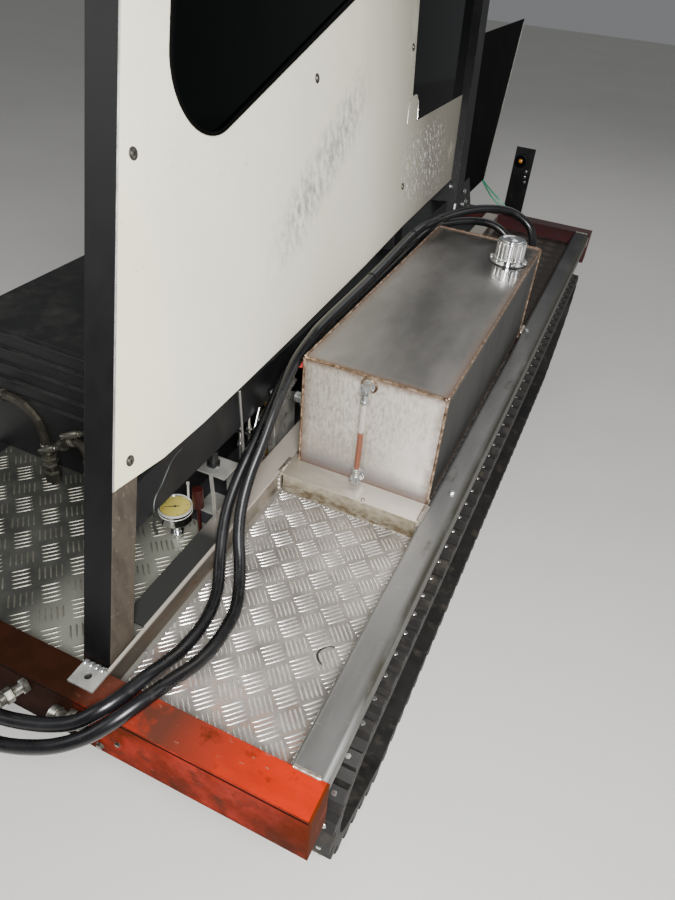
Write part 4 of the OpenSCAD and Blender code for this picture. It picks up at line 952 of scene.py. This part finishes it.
# The strokes of the scale and the pointer: direction in degrees, outline and two heights.
strokes, marks = [], []
for k in range(31):
    r0, w = (0.74 * gr, 0.5) if k % 5 == 0 else (0.82 * gr, 0.25)
    strokes.append((225 - 9 * k, ((r0, -w), (0.9 * gr, -w), (0.9 * gr, w), (r0, w)), (-0.1, 0.2)))
pointer = ((-9, -1.1), (0, -1.2), (22, -0.4), (22, 0.4), (0, 1.2), (-9, 1.1))
strokes.append((214, pointer, (0.6, 1)))
for turn, outline, heights in strokes:
    c, s = cos(radians(turn)), sin(radians(turn))
    marks.append(rings([[(gx + u * c - v * s, gy + u * s + v * c, dial_z + h)
                         for u, v in outline] for h in heights]))
marks.append(turned([(2.6, 0), (2.6, 1.6), (1.8, 2.2), (0, 2.2)], (gx, gy, dial_z), sides=16))
piece("dial_marks", marks, ink, smooth=0)
# Bezel: rolled stainless strip, a bright ring with a soft shine.
rim_steel = finish("rolled_stainless_bezel", ["#BDBCB5", "#DAD9D2"], 60, (0.26, 0.34), 2, 0.005,
                   0.5)
rim_at = (gx, gy, dial_z + 2)
bezel = [turned([(32.6, -4), (33.8, -3), (33.8, 0.2), (33, 1.4), (31.8, 1.4), (31.2, 0.4),
                 (31.2, -1.6), (32.6, -4)], rim_at, sides=72),
         turned([(33.1, -10), (33.9, -9.4), (33.1, -8.8), (33.1, -10)], rim_at, sides=56),
         swept([(-300, -877, 548), (-299, -876, 592)], 2.4, 10),
         turned([(3.6, 0), (3.6, 5), (2.6, 6), (0, 6)], (-299, -876, 591), sides=6),
         swept([(-300, -877, 549), (-302, -884, 547)], 2.4, 8)]
piece("gauge_bezel", bezel, rim_steel)
# Capillary: drawn copper-nickel tube, gone dark grey and dull.
pipe_grey = finish("drawn_nickel_tube", ["#2C302F", "#474C4A"], 30, (0.3, 0.44), 1.5, 0.02, 0.6)
capillary = eased([(-344, -931, 484), (-318, -966, 548), (-275, -1011, 619), (-230, -1064, 697),
                   (-231, -1056, 725), (-233, -1032, 739), (-236, -996, 763), (-238, -966, 766)],
                  6)
piece("gauge_capillary", [swept(capillary, np.linspace(3.6, 0.9, len(capillary)))], pipe_grey)

# Sand-cast aluminium: dull grainy light grey, with brown oil in its hollows.
cast_alu = finish("sand_cast_aluminium", ["#8F8E88", "#A7A6A0", "#BAB9B3"], 40, (0.42, 0.6),
                  1.5, 0.12, 0.7)
overlay(cast_alu, [("#6A5C4C", 0.6, (spots, 20, 0.58, 0.7, 3))])
coat("valve_block", cast_alu, 2)
# Turned brass: warm yellow, browner in the corners.
brass = finish("turned_brass", ["#9A7836", "#B8934E", "#D0AC66"], 24, (0.24, 0.4), 1.2, 0.03, 0.9)
coat("brass_fitting", brass, 1)
# Drawn steel pipe under a film of oil: a dark brownish grey with a long soft shine.
oily_pipe = finish("oil_filmed_steel_pipe", ["#34322B", "#4D4A41"], 70, (0.26, 0.38), 3, 0.01, 0.8)
coat("steel_elbows", oily_pipe, 0)
coat("switch_bracket", plate_zinc, 0.8)
# Switch body: moulded nylon, black with a soft shine.
switch_black = finish("moulded_nylon_switch", ["#08080A", "#111113"], 30, (0.34, 0.48), 1, 0.03)
coat("limit_switch", switch_black, 1)
# Ground rod: bright steel, with one clean streak of light down it.
rod_steel = finish("ground_steel_rod", ["#A8A7A2", "#C6C5C0"], 40, (0.18, 0.3), 1, 0.02, 0.9,
                   (1, 1, 0.2))
coat("lever_rods", rod_steel, 0.8)

# Nuts on the rods, the valve's bolts, and collars on the pipes and on the brass fitting.
small = [turned([(7, 0), (7.4, 0.8), (7.4, 6), (7, 6.8), (4.2, 6.8)], at, sides=6)
         for at in ((-297, -682, 560), (-297, -682, 640), (-289, -658, 590))]
for at, size in (((-269, -586, 626), 4.5), ((-269, -554, 626), 4.5), ((-269, -522, 626), 4.5),
                 ((-312, -826, 484), 5), ((-268, -826, 484), 5), ((-281, -800, 589), 4)):
    small += bolt(at, size=size)
piece("valve_bolts", small, zinc_bolts)
pipes_y = -900
collars = [turned([(10, 0), (12.2, 1), (12.2, 5), (10, 6)], (-273, -620, z), sides=28)
           for z in (540, 552, 590, 608)]
for x in (-633, -522):
    collars += [turned([(12, 0), (17.2, 1), (17.2, 8), (12, 9)], (x, pipes_y, z), sides=6)
                for z in (503, 524, 540)]
    collars.append(turned([(11, 0), (13, 1), (13, 22), (11, 24)], (x, pipes_y, 556), sides=28))
collars += [turned([(11, 0), (13.6, 1), (13.6, 9), (11, 10)], (x, pipes_y, z), (1, 0, rise), 28)
            for x, z, rise in ((-733, 666, 0.2), (-590, 591, 0.64), (-560, 613, 0.68))]
# Worn zinc on the nuts and sleeves: olive grey, each with one clean streak of light.
worn_zinc = finish("worn_zinc_nut", ["#6A695E", "#918F83"], 40, (0.2, 0.3), 2, 0.01, 0.9)
piece("pipe_collars", collars, worn_zinc)
sleeve_line = [(0, 0), (6.5, 0.5), (7.6, 2), (7.6, 46), (6.2, 48), (6.2, 55), (4.4, 56), (4.4, 66),
               (0, 66)]
pipe_sleeves = [turned(sleeve_line, at, way, 28) for at, way in (
    ((-567, -915, 632), (0.89, 0, 0.46)), ((-638, -915, 566), (0.86, 0, 0.5)))]
piece("pipe_sleeves", pipe_sleeves, worn_zinc)
lead = eased([(-291, -797, 625), (-291, -797, 644), (-282, -790, 664), (-262, -770, 668),
              (-244, -742, 650), (-236, -714, 610), (-238, -690, 566), (-244, -668, 534)], 7)
piece("switch_lead", [swept(lead, 3.2, 10)], switch_black)
# Painted cap on a short stem beside the gauge: red, darkened with painted shade.
cap_red = finish("dark_red_cap_paint", ["#200705", "#340D0A"], 16, (0.3, 0.42), 1, 0.02)
stem_z, stem_l = deck_top + 2, 75
valve_cap = [turned([(10, 0), (11, 1), (11, 44), (10, 46), (0, 46)],
                    (-268, -889, stem_z + stem_l - 1), sides=32),
             turned([(4, 0), (4, stem_l)], (-268, -889, stem_z), sides=20)]
piece("valve_cap", valve_cap, cap_red)

# Outboard of the sill hang two ground rods, a brass elbow and a corner of ribbed heat
# shield, and a strip of the bracket runs down to the rail.
hung = [swept([on_side(3, -777, 296), on_side(3, -785, 235), on_side(3, -808, 60)], 2.8, 12),
        swept([on_side(3, -718, 226), on_side(3, -748, 190), on_side(3, -786, 140)], 2.4, 12)]
piece("hung_rods", hung, rod_steel)
strip = [[(x + d, y + w, z) for d, w in ((-1.5, -4), (1.5, -4), (1.5, 4), (-1.5, 4))]
         for x, y, z in ((-236, -888, 652), (-236, -883, 586), (-236, -881, 520))]
piece("bracket_strip", [rings(strip)], plate_zinc)
elbow_at = Vector(on_side(13, -735, 188))
elbow_way = Vector(on_side(13, -690, 226)) - elbow_at
elbow = [turned(profile, elbow_at, elbow_way, sides) for profile, sides in (
    ([(6, 0), (9, 2), (9, 16), (7, 18)], 24), ([(11, 17), (12, 18), (12, 34), (11, 35)], 6),
    ([(8, 34), (8, 44), (10, 46), (10, 56), (7, 58), (0, 58)], 24))]
piece("brass_elbow", elbow, brass)
shield, skin_t = [], 1.2 * Vector(side_out)
for k in range(25):
    t, out = k / 24, 2 + 1.6 * (k % 2)
    low = Vector(on_side(out, -659 + 104 * t, 178 + 27 * t))
    high = Vector(on_side(out, -668 + 84 * t, 236 - 2 * t))
    shield.append([low, high, high - skin_t, low - skin_t])
piece("heat_shield", [rings(shield)], cast_alu, smooth=20)


# TRACK UNIT
# An endless rubber track with moulded bars runs on steel wheels in a welded frame. Each
# bar has two pairs of bright studs; mud and dust fill the rubber's texture.

# Track rubber: dull black, browner and greyer where mud has dried on it.
track_rubber = finish("dusty_track_rubber", ["#0F0E0D", "#181614", "#221F1C"], 70, (0.6, 0.85),
                      3.2, 0.5)
overlay(track_rubber, [
    ("#3A342B", 0.9, (spots, 40, 0.54, 0.7, 2)),
    ("#2B2823", 0.7, (edges, 5, 0.04, 0.4))])
coat("track", track_rubber, 3)
# Cast steel in oil: nearly black, rubbed grey on its edges and rusty in patches.
oily_steel = finish("oily_cast_steel", ["#1E1C1A", "#302C28", "#453E36"], 50, (0.3, 0.56), 2.5,
                    0.15, 0.7)
overlay(oily_steel, [
    ("#8B857B", 0.32, (edges, 5), (spots, 20, 0.4, 0.6)),
    ("#55402F", 0.75, (spots, 34, 0.56, 0.68, 5))])
for node in ("road_wheels", "idler_wheel", "drive_sprocket", "carrier_rollers", "drive_motor"):
    coat(node, oily_steel, 2)
coat("track_frame", frame_black, 2.5)

# The loop that the belt's outer face runs, in mm: circles as y, z and radius, round the
# end road wheels below and round the idler and the sprocket above.
wheel_y, wheel_z, idler_y, idler_z = 921, 110, 1082, 261
loop = ((-wheel_y, wheel_z, 90), (wheel_y, wheel_z, 90), (idler_y, idler_z, 130),
        (-idler_y, idler_z, 130))
turns, lengths = [], []
for (ya, za, ra), (yb, zb, rb) in zip(loop, loop[1:] + loop[:1]):
    reach = hypot(yb - ya, zb - za)
    turns.append(atan2(zb - za, yb - ya) - acos((ra - rb) / reach))
    lengths.append(sqrt(reach ** 2 - (ra - rb) ** 2))
arcs = [loop[(i + 1) % 4][2] * ((turns[(i + 1) % 4] - turns[i]) % (2 * pi)) for i in range(4)]
loop_l, bar_pitch, cleat_h, belt_t = sum(lengths) + sum(arcs), 52.5, 20, 25.2
bars_n = round(loop_l / bar_pitch)


def on_loop(s, lift):
    """The point at length s along the belt, lifted off it, and its outward direction."""
    for i in range(4):
        y, z, r = loop[(i + 1) % 4]
        if s <= lengths[i]:
            ya, za, ra = loop[i]
            n, t = (cos(turns[i]), sin(turns[i])), s / lengths[i]
            return [(1 - t) * (c + ra * m) + t * (d + r * m) + lift * m
                    for c, d, m in zip((ya, za), (y, z), n)], n
        s -= lengths[i]
        if s <= arcs[i] or i == 3:
            a = turns[i] + s / r
            n = (cos(a), sin(a))
            return [y + (r + lift) * n[0], z + (r + lift) * n[1]], n
        s -= arcs[i]


studs, lugs = [], []
for k in range(bars_n):
    s = (wheel_y + k * loop_l / bars_n) % loop_l
    (y, z), (ny, nz) = on_loop(s, cleat_h)
    if nz >= -0.98:
        studs += [turned([(5, -1.5), (5, 0.8), (4.2, 1.6), (0, 1.7)], (x, y, z), (0, ny, nz), 8)
                  for x in (-180, -166, 166, 180)]
    # Guide lugs on the belt's inner face, but not over the sprocket and the idler.
    (y, z), (ny, nz) = on_loop(s, -belt_t)
    if ny >= -0.3 and abs(y) <= 1060:
        lugs.append(rings([[(x, y + ny * h + nz * t, z + nz * h - ny * t) for x, t in
                            ((-w, -l), (w, -l), (w, l), (-w, l))]
                           for h, w, l in ((0, 16, 15), (-15, 12, 9), (-18, 9, 6))]))
# Hardened studs: their crowns are polished by the ground, and show as rows of dots.
stud_steel = finish("polished_stud_steel", ["#B4B2AC", "#D4D2CC"], 12, (0.16, 0.3), 0.8, 0.02,
                    0.9)
piece("track_studs", studs, stud_steel)
piece("track_lugs", lugs, track_rubber, smooth=20)
# Bolts on both faces of each wheel's hub, and a domed cap on the axle's ends.
hub_bolts, wheel_step, hub_face, axle_end = [], 368.4, 70, 100.2
hubs = [(-wheel_y + wheel_step * k, wheel_z, 24) for k in range(6)] + [(idler_y, idler_z, 38)]
for y, z, r in hubs:
    for out in (1, -1):
        for k in range(5):
            a = 2 * pi * k / 5 + 0.3
            hub_bolts += bolt((hub_face * out, y + r * cos(a), z + r * sin(a)), (out, 0, 0), 6)
        hub_bolts.append(turned([(15.5, 0), (15.5, 3), (13, 5), (0, 5.5)],
                                (axle_end * out, y, z), (out, 0, 0), 28))
piece("hub_bolts", hub_bolts, oily_steel)
